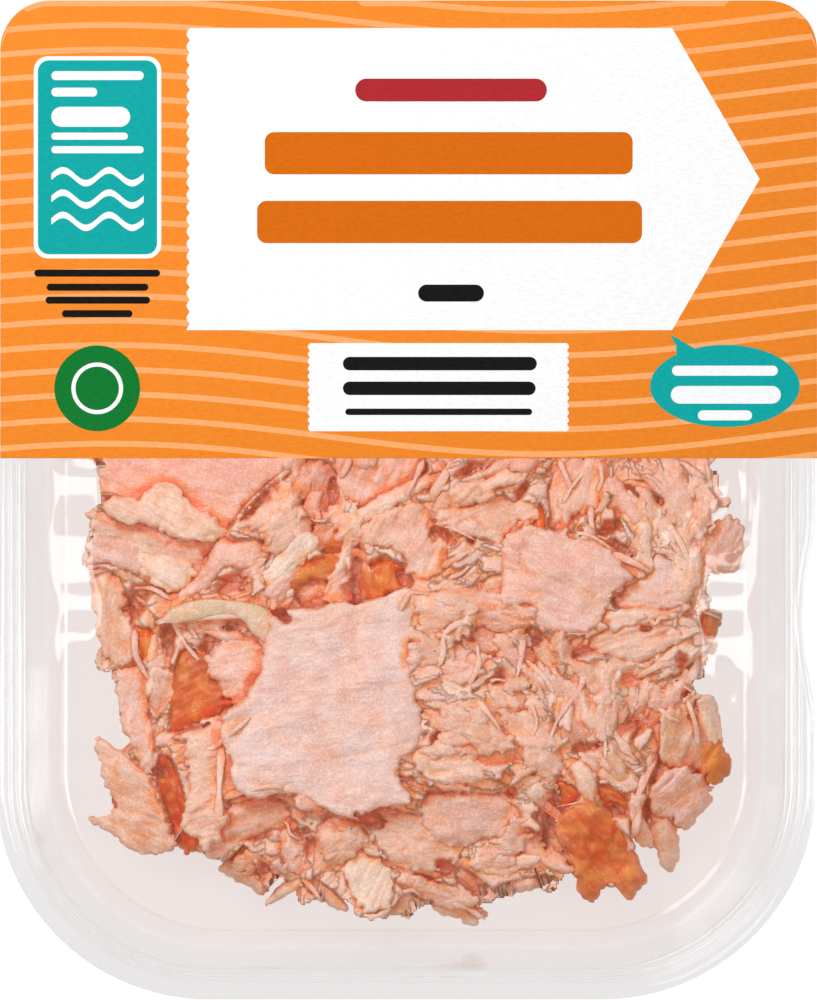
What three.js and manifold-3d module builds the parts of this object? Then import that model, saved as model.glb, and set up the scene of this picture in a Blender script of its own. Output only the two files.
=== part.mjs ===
// Hot smoked salmon flakes in a clear tray, sealed with a clear film and a printed card label.
// Millimetres. The pack lies on its tray: +Z up, +Y towards the top edge of the label,
// origin at the middle of the pack on the surface that it lies on.

import * as THREE from 'three';
import { mergeVertices } from 'three/addons/utils/BufferGeometryUtils.js';
import Module from 'manifold-3d';

const wasm = await Module();
wasm.setup();

// Pack
const PACK_LENGTH = 170;
const GAP = 0.3;

// Tray: one thin skin from its sealing flange down to its floor
const TRAY_WIDTH = 139.5;
const TRAY_LENGTH = 169;
const TRAY_DEPTH = 22;
const TRAY_SKIN = 0.6;
const TRAY_X = -0.15;
const TRAY_Y = (TRAY_LENGTH - PACK_LENGTH) / 2;
const FLANGE = 3.1;
const LEDGE = 1.9;
const STEP_DOWN = 1.2;
const WALL_RUN = 4.2;
const FLOOR_INSET = 10.6;
const CORNER_RADIUS = 36.2;
const CORNER_NARROWING = 0.79;
const CORNER_STEPS = 9;

// Finger notch in the right-hand flange
const NOTCH_Y = -19.6;
const NOTCH_HALF_LENGTH = 17.6;
const NOTCH_DEPTH = 2.2;
const NOTCH_STEPS = 8;
const NOTCH_SHARPNESS = 1.6;

// Film and card label
const FILM_THICKNESS = 0.2;
const LABEL_WIDTH = 139;
const LABEL_LENGTH = 77.9;
const LABEL_THICKNESS = 0.4;
const LABEL_RADIUS = 8.5;
const LABEL_X = 0.4;

// Heap of flakes: a low core inside the tray, and the flakes that show on it
const HEAP_HALF_WIDTH = 50;
const HEAP_HALF_LENGTH = 65;
const HEAP_SQUARENESS = 2.6;
const HEAP_BASE = TRAY_SKIN + GAP;
const HEAP_EDGE = 2.5;
const HEAP_RISE = 10.5;
const HEAP_SHOULDER = 3;
const HEAP_CEILING = TRAY_DEPTH - 0.4;
const CORE_SIDES = 40;
const CORE_RINGS = 8;
const GOLDEN_ANGLE = Math.PI * (3 - Math.sqrt(5));

const radians = THREE.MathUtils.degToRad;

// Repeatable numbers from 0 to 1
function seeded(seed) {
  let state = seed;
  return () => {
    state = (state * 16807) % 2147483647;
    return state / 2147483647;
  };
}

// A closed skin through rings of equal length, with a fan over the first ring and the last
function loft(rings, firstCentre, lastCentre) {
  const sides = rings[0].length;
  const positions = rings.flat().flatMap((point) => point.toArray());
  const index = [];
  for (let ring = 0; ring < rings.length - 1; ring++) {
    for (let side = 0; side < sides; side++) {
      const next = (side + 1) % sides;
      const a = ring * sides + side;
      const b = ring * sides + next;
      const c = (ring + 1) * sides + next;
      const d = (ring + 1) * sides + side;
      index.push(a, d, c, a, c, b);
    }
  }
  const first = positions.push(...firstCentre.toArray()) / 3 - 1;
  const last = positions.push(...lastCentre.toArray()) / 3 - 1;
  const lastRing = (rings.length - 1) * sides;
  for (let side = 0; side < sides; side++) {
    const next = (side + 1) % sides;
    index.push(first, side, next);
    index.push(last, lastRing + next, lastRing + side);
  }
  const geometry = new THREE.BufferGeometry();
  geometry.setAttribute('position', new THREE.Float32BufferAttribute(positions, 3));
  geometry.setIndex(index);
  return geometry;
}

// How far the finger notch cuts into the right-hand edge at a height y of the outline
function notchAt(y) {
  const share = Math.abs(y - NOTCH_Y) / NOTCH_HALF_LENGTH;
  if (share >= 1) return 0;
  return NOTCH_DEPTH * Math.cos((share * Math.PI) / 2) ** NOTCH_SHARPNESS;
}

// The tray's rounded outline, anticlockwise, at a distance in from its outer edge
function trayOutline(inset) {
  const halfWidth = TRAY_WIDTH / 2 - inset;
  const halfLength = TRAY_LENGTH / 2 - inset;
  const radius = CORNER_RADIUS - CORNER_NARROWING * inset;
  const notchShare = Math.max(0, 1 - inset / FLANGE);
  const points = [];
  const corners = [
    [1, -1, -90],
    [1, 1, 0],
    [-1, 1, 90],
    [-1, -1, 180],
  ];
  for (const [acrossSign, alongSign, start] of corners) {
    for (let step = 0; step <= CORNER_STEPS; step++) {
      const angle = radians(start + (90 * step) / CORNER_STEPS);
      points.push(
        new THREE.Vector2(
          acrossSign * (halfWidth - radius) + radius * Math.cos(angle),
          alongSign * (halfLength - radius) + radius * Math.sin(angle),
        ),
      );
    }
    if (start === -90) {
      for (let step = 0; step <= NOTCH_STEPS; step++) {
        const y = NOTCH_Y + NOTCH_HALF_LENGTH * ((2 * step) / NOTCH_STEPS - 1);
        points.push(new THREE.Vector2(halfWidth - notchShare * notchAt(y), y));
      }
    }
  }
  return points;
}

function trayRing([inset, z]) {
  return trayOutline(inset).map((point) => new THREE.Vector3(point.x, point.y, z));
}

function trayGeometry() {
  const ledgeEnd = FLANGE + LEDGE;
  const wallFoot = ledgeEnd + WALL_RUN;
  const ledgeZ = TRAY_DEPTH - STEP_DOWN;
  const inside = [
    [FLOOR_INSET + 1, TRAY_SKIN],
    [FLOOR_INSET, TRAY_SKIN + 0.3],
    [wallFoot, TRAY_SKIN + 2],
    [ledgeEnd + 0.3, ledgeZ - 0.4],
    [ledgeEnd, ledgeZ],
    [FLANGE + 0.4, ledgeZ],
    [FLANGE, TRAY_DEPTH],
    [0, TRAY_DEPTH],
  ];
  const outside = [
    [0, TRAY_DEPTH - TRAY_SKIN],
    [FLANGE - 0.5, TRAY_DEPTH - TRAY_SKIN],
    [FLANGE - 0.1, ledgeZ - TRAY_SKIN],
    [ledgeEnd - 0.5, ledgeZ - TRAY_SKIN],
    [wallFoot - 0.6, TRAY_SKIN + 1.4],
    [FLOOR_INSET - 0.4, 0.3],
    [FLOOR_INSET + 0.8, 0],
  ];
  const rings = [...inside, ...outside].map(trayRing);
  return loft(rings, new THREE.Vector3(0, 0, TRAY_SKIN), new THREE.Vector3(0, 0, 0));
}

function filmGeometry() {
  const shape = new THREE.Shape(trayOutline(0));
  return new THREE.ExtrudeGeometry(shape, { depth: FILM_THICKNESS, bevelEnabled: false });
}

// A card with a straight bottom edge and two rounded top corners
function labelGeometry() {
  const right = LABEL_WIDTH / 2;
  const shape = new THREE.Shape();
  shape.moveTo(-right, 0);
  shape.lineTo(right, 0);
  shape.lineTo(right, LABEL_LENGTH - LABEL_RADIUS);
  shape.absarc(right - LABEL_RADIUS, LABEL_LENGTH - LABEL_RADIUS, LABEL_RADIUS, 0, Math.PI / 2);
  shape.lineTo(LABEL_RADIUS - right, LABEL_LENGTH);
  shape.absarc(
    LABEL_RADIUS - right,
    LABEL_LENGTH - LABEL_RADIUS,
    LABEL_RADIUS,
    Math.PI / 2,
    Math.PI,
  );
  return new THREE.ExtrudeGeometry(shape, { depth: LABEL_THICKNESS, bevelEnabled: false, curveSegments: 8 });
}

// How far out a point of the heap lies: 0 in the middle, 1 at the core's foot
function heapShare(x, y) {
  const across = Math.abs(x / HEAP_HALF_WIDTH) ** HEAP_SQUARENESS;
  const along = Math.abs(y / HEAP_HALF_LENGTH) ** HEAP_SQUARENESS;
  return (across + along) ** (1 / HEAP_SQUARENESS);
}

// Height of the core's top: a low dome with soft lumps
function pileHeight(x, y) {
  const share = Math.min(1, heapShare(x, y));
  const dome = HEAP_RISE * (1 - share ** HEAP_SHOULDER);
  const lumps = Math.sin(x / 6.3 + 1) * Math.cos(y / 7.9) + 0.6 * Math.sin(x / 3.1 - y / 4.3);
  return HEAP_BASE + HEAP_EDGE + dome + lumps * (1 - share);
}

function coreGeometry() {
  const ringAt = (share, heightOf) =>
    Array.from({ length: CORE_SIDES }, (_, side) => {
      const angle = (2 * Math.PI * side) / CORE_SIDES;
      const reach = share / heapShare(Math.cos(angle), Math.sin(angle));
      const x = reach * Math.cos(angle);
      const y = reach * Math.sin(angle);
      return new THREE.Vector3(x, y, heightOf(x, y));
    });
  const rings = [];
  for (let ring = 1; ring <= CORE_RINGS; ring++) {
    rings.push(ringAt(Math.sqrt(ring / CORE_RINGS), pileHeight));
  }
  rings.push(ringAt(1, () => HEAP_BASE));
  return loft(
    rings,
    new THREE.Vector3(0, 0, pileHeight(0, 0)),
    new THREE.Vector3(0, 0, HEAP_BASE),
  );
}

// Outlines of the four largest pieces, anticlockwise, in the pack's plan
const GREAT_SLAB = {
  top: 19,
  thickness: 5,
  lean: [-3, 2],
  outline: [
    [-28.2, -40], [-19.7, -46.8], [-13.3, -52.4], [-8, -54.4], [-3.6, -52], [-1, -53.6],
    [2.4, -50.5], [4.4, -41.7], [2, -32.3], [2.7, -23.8], [1.5, -14.5], [-4.4, -17],
    [-11.9, -17.5], [-22.8, -19.6], [-23.5, -24.5], [-25.3, -30.8], [-27.2, -34.7],
  ],
};
const BROAD_FLAKE = {
  top: 18.6,
  thickness: 4,
  lean: [4, -4],
  outline: [
    [15.8, -17.3], [21.3, -18.4], [23.6, -22.1], [28.9, -22.6], [32.5, -20.9], [36.4, -17],
    [38.3, -12.6], [33.8, -7.7], [27.9, -6], [20.6, -4.6], [17.7, -6.5],
  ],
};
const LEFT_WING = {
  top: 7.5,
  thickness: 4,
  lean: [0, 4],
  outline: [
    [-53.1, -40.8], [-52.7, -46.8], [-49.5, -51.5], [-54.8, -54.8], [-50.3, -57], [-46.4, -60],
    [-35, -60.4], [-33, -43], [-42.7, -45.1], [-48.6, -43.4],
  ],
};
const SMOKED_WEDGE = {
  top: 12.5,
  thickness: 5,
  lean: [6, 4],
  outline: [
    [26.2, -52.9], [25.7, -57.3], [28.7, -62.9], [31.1, -68], [33, -66.3], [35.5, -64.6],
    [38.4, -67.5], [39.8, -62.9], [38.3, -58.3], [30.4, -51.5],
  ],
};

// The other pieces that show:
// x, y, length, width, turn in the plan, thickness, top, and lean about its length and width
const FLAKES = [
  [-27.5, -48.5, 25, 18, 15, 4, 13.5, -8, -4],
  [-30.5, 4.5, 33, 22, -20, 5, 14, 0, 0],
  [-41, -1, 22.5, 6.5, -23, 3, 16, 8, 0],
  [-42.5, -10.5, 22, 14, -12, 8, 13.5, 0, -4],
  [-31, -13.3, 19, 5.5, 27, 3, 15.5, -8, 0],
  [-29.5, -28.8, 11, 11.5, 10, 4, 15, 0, 6],
  [-47.8, -23.8, 13, 12, 80, 4, 10.5, 8, 0],
  [-46.5, -37.5, 19, 7.5, 82, 5, 9, 10, 0],
  [-36.7, -32.7, 15, 9, 64, 5, 11.5, 8, 0],
  [-38.5, -50, 17, 7, 100, 4, 7, 0, 0],
  [-23.1, -4.3, 16, 9, 48, 4, 17, -8, 4],
  [-16.3, -10.5, 14, 12, 30, 6, 13, 0, 8],
  [-15, 2.6, 10, 9, 70, 5, 14.5, 0, 0],
  [-6.5, 3.7, 10, 8, 60, 5, 15, 0, 0],
  [-2.7, -12.8, 9, 8, 80, 5, 14.5, 0, 0],
  [0.5, -6.5, 14, 10, 65, 4, 17, 6, 0],
  [5.5, 1.5, 16, 7, 28, 4, 17.5, -6, 0],
  [14, -2.4, 21, 10, 14, 4, 18.2, 6, -4],
  [6.8, -18.9, 12, 7.5, -5, 4, 18.4, -8, 0],
  [12.6, -24.1, 10.5, 8, -10, 7, 15, 0, 0],
  [17.9, -21.8, 8, 4.5, -28, 4, 15, 0, 0],
  [31.5, 3, 23, 17, -8, 5, 15.5, 4, 0],
  [46.5, 1, 18, 8, 84, 4, 14, 8, 4],
  [41.5, -4.5, 16, 5, 108, 3, 16.5, 8, 0],
  [53, -5.5, 9, 9, 60, 5, 12, 8, 0],
  [40.6, -19.6, 14, 4.2, 4, 3, 17, -8, 0],
  [41.8, -25.4, 13.5, 5.6, 12, 4, 16.5, -6, 0],
  [44, -12, 12, 9, 100, 4, 14.5, 10, 0],
  [52.4, -21.8, 8, 4, 78, 4, 12, 6, 0],
  [50.5, -31, 14, 8, 70, 4, 12, 8, 0],
  [27, -29.5, 14, 6, -60, 4, 14.5, 8, 0],
  [34.5, -32.5, 13, 7, 82, 4, 15, -8, 0],
  [20, -32, 12, 6, -62, 4, 15.5, 0, 6],
  [10.9, -37.4, 16, 8.5, -8, 5, 18.4, -6, 0],
  [17, -42.6, 11, 7.5, -10, 4, 17.5, -6, 4],
  [6.3, -44.7, 15, 6.5, -17, 4, 18, -8, 0],
  [28, -41, 16, 9, 52, 5, 14, 6, 0],
  [40.5, -40, 17, 10, 64, 5, 13.5, 8, 0],
  [52.5, -44.5, 9, 6.5, 100, 4, 9.5, 6, 0],
  [33, -47.5, 13, 5, -30, 3, 15, 0, 0],
  [45.8, -51.9, 14, 9, 10, 4, 8.5, 0, 0],
  [44.9, -59.2, 10.5, 5.5, 72, 4, 6.5, 0, 4],
  [14, -51, 17, 9, -6, 5, 14.5, -8, 0],
  [8.7, -57.3, 9, 5, -14, 4, 13, 0, 0],
  [20, -58, 14, 8, 24, 5, 11, -6, 0],
  [3.2, -60, 12, 9.5, -20, 5, 12.5, -8, 0],
  [6.3, -68, 16, 5.5, -23, 4, 7.5, -8, 0],
  [11.5, -64.2, 9, 5, -44, 4, 9.5, 0, 0],
  [-5, -59, 12, 9, 96, 6, 13, 6, 0],
  [-12.5, -59.5, 13, 10, 70, 6, 12, 0, 6],
  [-7, -66.3, 14, 8, -48, 5, 8, -6, 0],
  [-20.5, -61.5, 12, 8, -36, 4, 8.5, -6, 0],
];

// The rest of the heap, under the label: flakes spread evenly by a rule
const HIDDEN_FLAKES = 24;
const HIDDEN_FROM_Y = 8;
const HIDDEN_SEED = 41;

// Small torn flakes over the part of the heap that shows, spread evenly by the same rule
const SHREDS = 110;
const SHREDS_TO_Y = 10;
const SHRED_SEED = 977;

// Pieces at least this wide have eased edges; narrower ones are sharp
const EASED_WIDTH = 8;
const EASING = 0.5;

// A torn plan outline: an ellipse whose points move in and out
function tornShape(length, width, sides, random) {
  const points = [];
  for (let side = 0; side < sides; side++) {
    const angle = (2 * Math.PI * side) / sides;
    const reach = 0.5 * (0.82 + 0.36 * random());
    points.push(new THREE.Vector2(length * reach * Math.cos(angle), width * reach * Math.sin(angle)));
  }
  return new THREE.Shape(points);
}

// A slab of the given outline under z = 0, with its edges eased by a bevel or left sharp
function slabGeometry(shape, thickness, bevel) {
  const geometry = new THREE.ExtrudeGeometry(shape, {
    depth: thickness - 2 * bevel,
    bevelEnabled: bevel > 0,
    bevelThickness: bevel,
    bevelSize: bevel,
    bevelOffset: -bevel,
    bevelSegments: 1,
    curveSegments: 1,
  });
  return geometry.translate(0, 0, bevel - thickness);
}

// A slab set down with its top at a height, turned in the plan and leaned about its own axes
function placed(geometry, x, y, top, turn, roll, pitch) {
  const spin = new THREE.Matrix4().makeRotationZ(radians(turn));
  const lean = new THREE.Matrix4().makeRotationFromEuler(
    new THREE.Euler(radians(roll), radians(pitch), 0),
  );
  geometry.applyMatrix4(spin.multiply(lean));
  return geometry.translate(x, y, top);
}

// Thickness that lets a piece reach down into the core below it
function rooted(x, y, top, thickness) {
  return Math.max(thickness, top - pileHeight(x, y) + 2);
}

function drawnFlake({ outline, top, thickness, lean }) {
  const centre = new THREE.Vector2();
  outline.forEach(([x, y]) => centre.add(new THREE.Vector2(x, y)));
  centre.divideScalar(outline.length);
  const points = outline.map(([x, y]) => new THREE.Vector2(x - centre.x, y - centre.y));
  const depth = rooted(centre.x, centre.y, top, thickness);
  const geometry = slabGeometry(new THREE.Shape(points), depth, EASING);
  return placed(geometry, centre.x, centre.y, top, 0, ...lean);
}

function listedFlake([x, y, length, width, turn, thickness, top, roll, pitch], order) {
  const random = seeded(1000 + order);
  const depth = rooted(x, y, top, thickness);
  const easing = width < EASED_WIDTH ? 0 : EASING;
  const geometry = slabGeometry(tornShape(length, width, 11, random), depth, easing);
  return placed(geometry, x, y, top, turn, roll, pitch);
}

// Points spread evenly over the heap on a sunflower spiral
function spiralPoint(order, count, reach) {
  const share = reach * Math.sqrt((order + 0.5) / count);
  const angle = order * GOLDEN_ANGLE;
  const scale = share / heapShare(Math.cos(angle), Math.sin(angle));
  return [scale * Math.cos(angle), scale * Math.sin(angle)];
}

function hiddenFlakes() {
  const random = seeded(HIDDEN_SEED);
  const flakes = [];
  for (let order = 0; order < 2 * HIDDEN_FLAKES; order++) {
    const [x, y] = spiralPoint(order, 2 * HIDDEN_FLAKES, 1);
    const length = 17 + 11 * random();
    const width = length * (0.5 + 0.25 * random());
    const turn = 180 * random();
    const roll = 16 * random() - 8;
    const top = pileHeight(x, y) + 1.5 + 2 * random();
    if (y < HIDDEN_FROM_Y) continue;
    const shape = tornShape(length, width, 10, random);
    const geometry = slabGeometry(shape, rooted(x, y, top, 4), EASING);
    flakes.push(placed(geometry, x, y, top, turn, roll, 0));
  }
  return flakes;
}

function shreds() {
  const random = seeded(SHRED_SEED);
  const strips = [];
  for (let order = 0; order < SHREDS; order++) {
    const [x, y] = spiralPoint(order, SHREDS, 1.03);
    const length = 6 + 6 * random();
    const width = 2 + 2.5 * random();
    const top = pileHeight(x, y) + 1 + 2.5 * random();
    const turn = 180 * random();
    const roll = 40 * random() - 20;
    const pitch = 40 * random() - 20;
    if (y > SHREDS_TO_Y) continue;
    const shape = tornShape(length, width, 6, random);
    const geometry = slabGeometry(shape, 3 + top - pileHeight(x, y), 0);
    strips.push(placed(geometry, x, y, top, turn, roll, pitch));
  }
  return strips;
}

function toSolid(geometry) {
  const bare = geometry.clone();
  bare.deleteAttribute('normal');
  bare.deleteAttribute('uv');
  const merged = mergeVertices(bare, 1e-4);
  return new wasm.Manifold(
    new wasm.Mesh({
      numProp: 3,
      vertProperties: new Float32Array(merged.attributes.position.array),
      triVerts: new Uint32Array(merged.index.array),
    }),
  );
}

function toGeometry(solid) {
  const mesh = solid.getMesh();
  const geometry = new THREE.BufferGeometry();
  geometry.setAttribute('position', new THREE.BufferAttribute(mesh.vertProperties, 3));
  geometry.setIndex(new THREE.BufferAttribute(mesh.triVerts, 1));
  return geometry;
}

// The room inside the tray, between its floor, its walls and the film
function trayRoom() {
  const clear = 0.5;
  const room = [
    [FLOOR_INSET + clear, HEAP_BASE],
    [FLANGE + LEDGE + WALL_RUN + clear, TRAY_SKIN + 2.4],
    [FLANGE + LEDGE + 0.4 + clear, HEAP_CEILING],
  ];
  const rings = room.reverse().map(trayRing);
  return loft(
    rings,
    new THREE.Vector3(0, 0, HEAP_CEILING),
    new THREE.Vector3(0, 0, HEAP_BASE),
  ).translate(TRAY_X, TRAY_Y, 0);
}

// All flakes fused to the core, kept inside the tray, without hollows or loose scraps
function heapGeometry() {
  const drawn = [GREAT_SLAB, BROAD_FLAKE, LEFT_WING, SMOKED_WEDGE].map(drawnFlake);
  const pieces = [...drawn, ...FLAKES.map(listedFlake), ...hiddenFlakes(), ...shreds()];
  const fused = pieces.reduce((heap, piece) => heap.add(toSolid(piece)), toSolid(coreGeometry()));
  const bodies = fused.intersect(toSolid(trayRoom())).decompose();
  bodies.sort((a, b) => b.volume() - a.volume());
  return toGeometry(bodies[0]);
}

function part(name, geometry, colour, roughness, x, y, z) {
  const material = new THREE.MeshStandardMaterial({ color: colour, roughness, metalness: 0 });
  const mesh = new THREE.Mesh(geometry, material);
  mesh.name = name;
  mesh.position.set(x, y, z);
  return mesh;
}

const FILM_Z = TRAY_DEPTH + GAP;
const LABEL_Z = FILM_Z + FILM_THICKNESS + GAP;

const pack = new THREE.Group();
pack.add(part('tray', trayGeometry(), 0xe8e6e6, 0.15, TRAY_X, TRAY_Y, 0));
pack.add(part('salmon_flakes', heapGeometry(), 0xe7ac93, 0.45, 0, 0, 0));
pack.add(part('lid_film', filmGeometry(), 0xf2f2f2, 0.08, TRAY_X, TRAY_Y, FILM_Z));
pack.add(
  part('label', labelGeometry(), 0xf58c31, 0.4, LABEL_X, PACK_LENGTH / 2 - LABEL_LENGTH, LABEL_Z),
);

export default pack;
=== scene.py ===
# %% [markdown]
# # A sealed pack of hot smoked salmon flakes
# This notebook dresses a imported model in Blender. The real object is a clear tray with torn flakes of
# cooked, smoked fish. A clear film closes it, and a printed card lies over the upper part of the film. The
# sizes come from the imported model, so every piece is made where its plain solid stands.

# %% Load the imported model
import math

import bpy
import numpy as np
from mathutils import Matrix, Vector
from mathutils.geometry import tessellate_polygon


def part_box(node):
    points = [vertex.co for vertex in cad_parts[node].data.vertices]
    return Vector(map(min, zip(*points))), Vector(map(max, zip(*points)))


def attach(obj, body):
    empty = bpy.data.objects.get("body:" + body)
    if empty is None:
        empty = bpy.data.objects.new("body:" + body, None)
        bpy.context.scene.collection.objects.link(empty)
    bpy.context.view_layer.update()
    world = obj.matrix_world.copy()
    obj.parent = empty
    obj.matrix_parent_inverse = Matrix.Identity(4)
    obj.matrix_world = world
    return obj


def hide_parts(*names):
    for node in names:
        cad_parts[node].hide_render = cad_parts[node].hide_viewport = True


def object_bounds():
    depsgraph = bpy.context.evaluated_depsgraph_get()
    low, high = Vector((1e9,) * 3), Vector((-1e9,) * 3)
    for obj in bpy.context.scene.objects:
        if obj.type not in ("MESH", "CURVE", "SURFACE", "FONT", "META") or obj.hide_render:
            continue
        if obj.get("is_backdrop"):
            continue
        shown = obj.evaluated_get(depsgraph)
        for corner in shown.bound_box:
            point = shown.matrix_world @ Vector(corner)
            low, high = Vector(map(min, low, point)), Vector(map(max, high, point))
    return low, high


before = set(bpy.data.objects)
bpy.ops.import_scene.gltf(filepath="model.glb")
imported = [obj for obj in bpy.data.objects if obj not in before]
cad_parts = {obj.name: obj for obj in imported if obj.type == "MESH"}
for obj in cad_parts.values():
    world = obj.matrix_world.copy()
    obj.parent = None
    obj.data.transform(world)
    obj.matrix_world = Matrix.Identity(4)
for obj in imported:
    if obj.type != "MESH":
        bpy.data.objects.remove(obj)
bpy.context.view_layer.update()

# %% [markdown]
# ## Measures
# Everything is worked out in millimetres, as a maker thinks of a tray or a flake, and one factor turns them
# into Blender's metres. The boxes of the tray, the film, the card and the heap are read from the packed
# model. Only sizes that a box can't tell are written down.

# %% Measures of the pack
MM = 0.001


def box_mm(node):
    low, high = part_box(node)
    return np.array(low) / MM, np.array(high) / MM


tray_low, tray_high = box_mm("tray")
film_low, film_high = box_mm("lid_film")
card_low, card_high = box_mm("label")
heap_low, heap_high = box_mm("salmon_flakes")
print("tray, mm:", np.round(tray_high - tray_low, 1), "heap, mm:", np.round(heap_high - heap_low, 1))

# %% [markdown]
# ## Camera
# The photo looks straight down, and the pack fills its frame. A very long lens from far away gives the
# nearly parallel look of a pack shot. Its distance follows from the lens and the height of the frame at the
# card.

# %% Camera straight above the card
FRAME_PIXELS = (817, 1000)
FRAME_WIDTH = 139.0
FRAME_CENTRE_X = 0.36
LENS = 400.0
SENSOR = 36.0

frame_height = FRAME_WIDTH * FRAME_PIXELS[1] / FRAME_PIXELS[0]
camera_height = LENS * frame_height / SENSOR
lens = bpy.data.cameras.new("camera")
lens.lens = LENS
lens.sensor_width = SENSOR
lens.clip_end = 20.0
camera = bpy.data.objects.new("camera", lens)
camera.location = (FRAME_CENTRE_X * MM, 0.0, (card_high[2] + camera_height) * MM)
bpy.context.scene.collection.objects.link(camera)
bpy.context.scene.camera = camera
print("camera height, mm:", round(camera_height))

# %% [markdown]
# ## Random numbers and noise
# Torn fish has no straight line, so nearly every shape is bent by noise. Blender's own noise works on one
# point at a time. A lattice noise in numpy works on all points of a mesh at once: each corner of a grid has
# a fixed random value, and the values are blended between the corners.

# %% Lattice noise for whole arrays of points
SCRAMBLE_X, SCRAMBLE_Y, SCRAMBLE_Z, SCRAMBLE_SEED = 374761393, 668265263, 1274126177, 144269504
LOW_32_BITS, LOW_16_BITS = 0xFFFFFFFF, 0xFFFF


def lattice_value(ix, iy, iz, seed):
    """A fixed random value from -1 to 1 for each corner of the lattice."""
    mixed = (ix * SCRAMBLE_X + iy * SCRAMBLE_Y + iz * SCRAMBLE_Z + seed * SCRAMBLE_SEED) & LOW_32_BITS
    mixed = ((mixed ^ (mixed >> 13)) * SCRAMBLE_Z) & LOW_32_BITS
    return ((mixed ^ (mixed >> 16)) & LOW_16_BITS) / (LOW_16_BITS / 2) - 1.0


def noise(x, y, z=0.0, seed=0):
    """Smooth noise from -1 to 1, with lumps about one unit apart."""
    x, y, z = np.broadcast_arrays(*(np.asarray(a, float) for a in (x, y, z)))
    cell = [np.floor(a).astype(np.int64) for a in (x, y, z)]
    ease = [(a - c) ** 2 * (3 - 2 * (a - c)) for a, c in zip((x, y, z), cell)]
    total = np.zeros_like(x)
    for corner in range(8):
        step = (corner & 1, (corner >> 1) & 1, corner >> 2)
        weight = 1.0
        for s, e in zip(step, ease):
            weight = weight * (e if s else 1 - e)
        total += weight * lattice_value(*(c + s for c, s in zip(cell, step)), seed)
    return total


def rough(x, y, z=0.0, seed=0, octaves=3):
    """Noise with finer noise added to it."""
    total, size, whole = 0.0, 1.0, 0.0
    for octave in range(octaves):
        total = total + size * noise(x * 2**octave, y * 2**octave, z * 2**octave, seed + 17 * octave)
        whole += size
        size *= 0.5
    return total / whole


def smooth_step(low, high, value):
    """A share that rises from 0 at low to 1 at high, with soft ends."""
    share = np.clip((value - low) / (high - low), 0, 1)
    return share * share * (3 - 2 * share)


print("noise at three places:", np.round(noise([0.2, 1.5, 2.9], 0.4), 2))

# %% [markdown]
# ## From arrays to a mesh
# Thousands of flakes would be slow as thousands of objects. Each flake is an array of points and faces
# instead. A basket collects them, with a colour and a place along the fibres for each point, and becomes one
# mesh in the end.

# %% A basket that joins many small shapes into one mesh


class Basket:
    """Arrays of points, faces, colours and fibre places, shape after shape."""

    def __init__(self):
        self.points, self.quads, self.tris, self.colours, self.fibres = [], [], [], [], []
        self.count = 0

    def add(self, points, quads, tris, colours, fibres):
        self.points.append(points)
        self.quads.append(np.asarray(quads, np.int64).reshape(-1, 4) + self.count)
        self.tris.append(np.asarray(tris, np.int64).reshape(-1, 3) + self.count)
        self.colours.append(colours)
        self.fibres.append(fibres)
        self.count += len(points)

    def triangles(self):
        return sum(2 * len(q) for q in self.quads) + sum(len(t) for t in self.tris)

    def poured(self, name, smooth=True):
        joined = [np.concatenate(parts) for parts in (self.points, self.quads, self.tris)]
        return new_mesh(name, *joined, smooth)


def new_mesh(name, points, quads, tris, smooth=True):
    mesh = bpy.data.meshes.new(name)
    quads = np.asarray(quads, np.int64).reshape(-1, 4)
    tris = np.asarray(tris, np.int64).reshape(-1, 3)
    corners = np.concatenate([quads.ravel(), tris.ravel()])
    starts = np.concatenate([np.arange(len(quads)) * 4, len(quads) * 4 + np.arange(len(tris)) * 3])
    mesh.vertices.add(len(points))
    mesh.vertices.foreach_set("co", (np.asarray(points) * MM).astype(np.float32).ravel())
    mesh.loops.add(len(corners))
    mesh.loops.foreach_set("vertex_index", corners.astype(np.int32))
    mesh.polygons.add(len(starts))
    mesh.polygons.foreach_set("loop_start", starts.astype(np.int32))
    mesh.update(calc_edges=True)
    mesh.polygons.foreach_set("use_smooth", np.full(len(starts), smooth))
    mesh.validate()
    piece = bpy.data.objects.new(name, mesh)
    bpy.context.scene.collection.objects.link(piece)
    return piece


def dress(piece, finish, node):
    """Gives a piece its finish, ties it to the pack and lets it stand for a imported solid."""
    piece.data.materials.append(finish)
    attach(piece, "root")
    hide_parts(node)


# %% [markdown]
# ## Finishes
# Each finish is a node tree around one Principled shader. A small helper makes and links the nodes, so that
# a finish reads like a recipe. Screen colours are turned into linear light.

# %% Helpers for node trees
MIX_SHARE, MIX_FIRST, MIX_SECOND, MIX_RESULT = 0, 6, 7, 2


def linear(red, green, blue):
    """A screen colour from 0 to 255 as linear light."""
    def channel(c):
        c = c / 255
        return c / 12.92 if c <= 0.04045 else ((c + 0.055) / 1.055) ** 2.4

    return (channel(red), channel(green), channel(blue))


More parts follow.
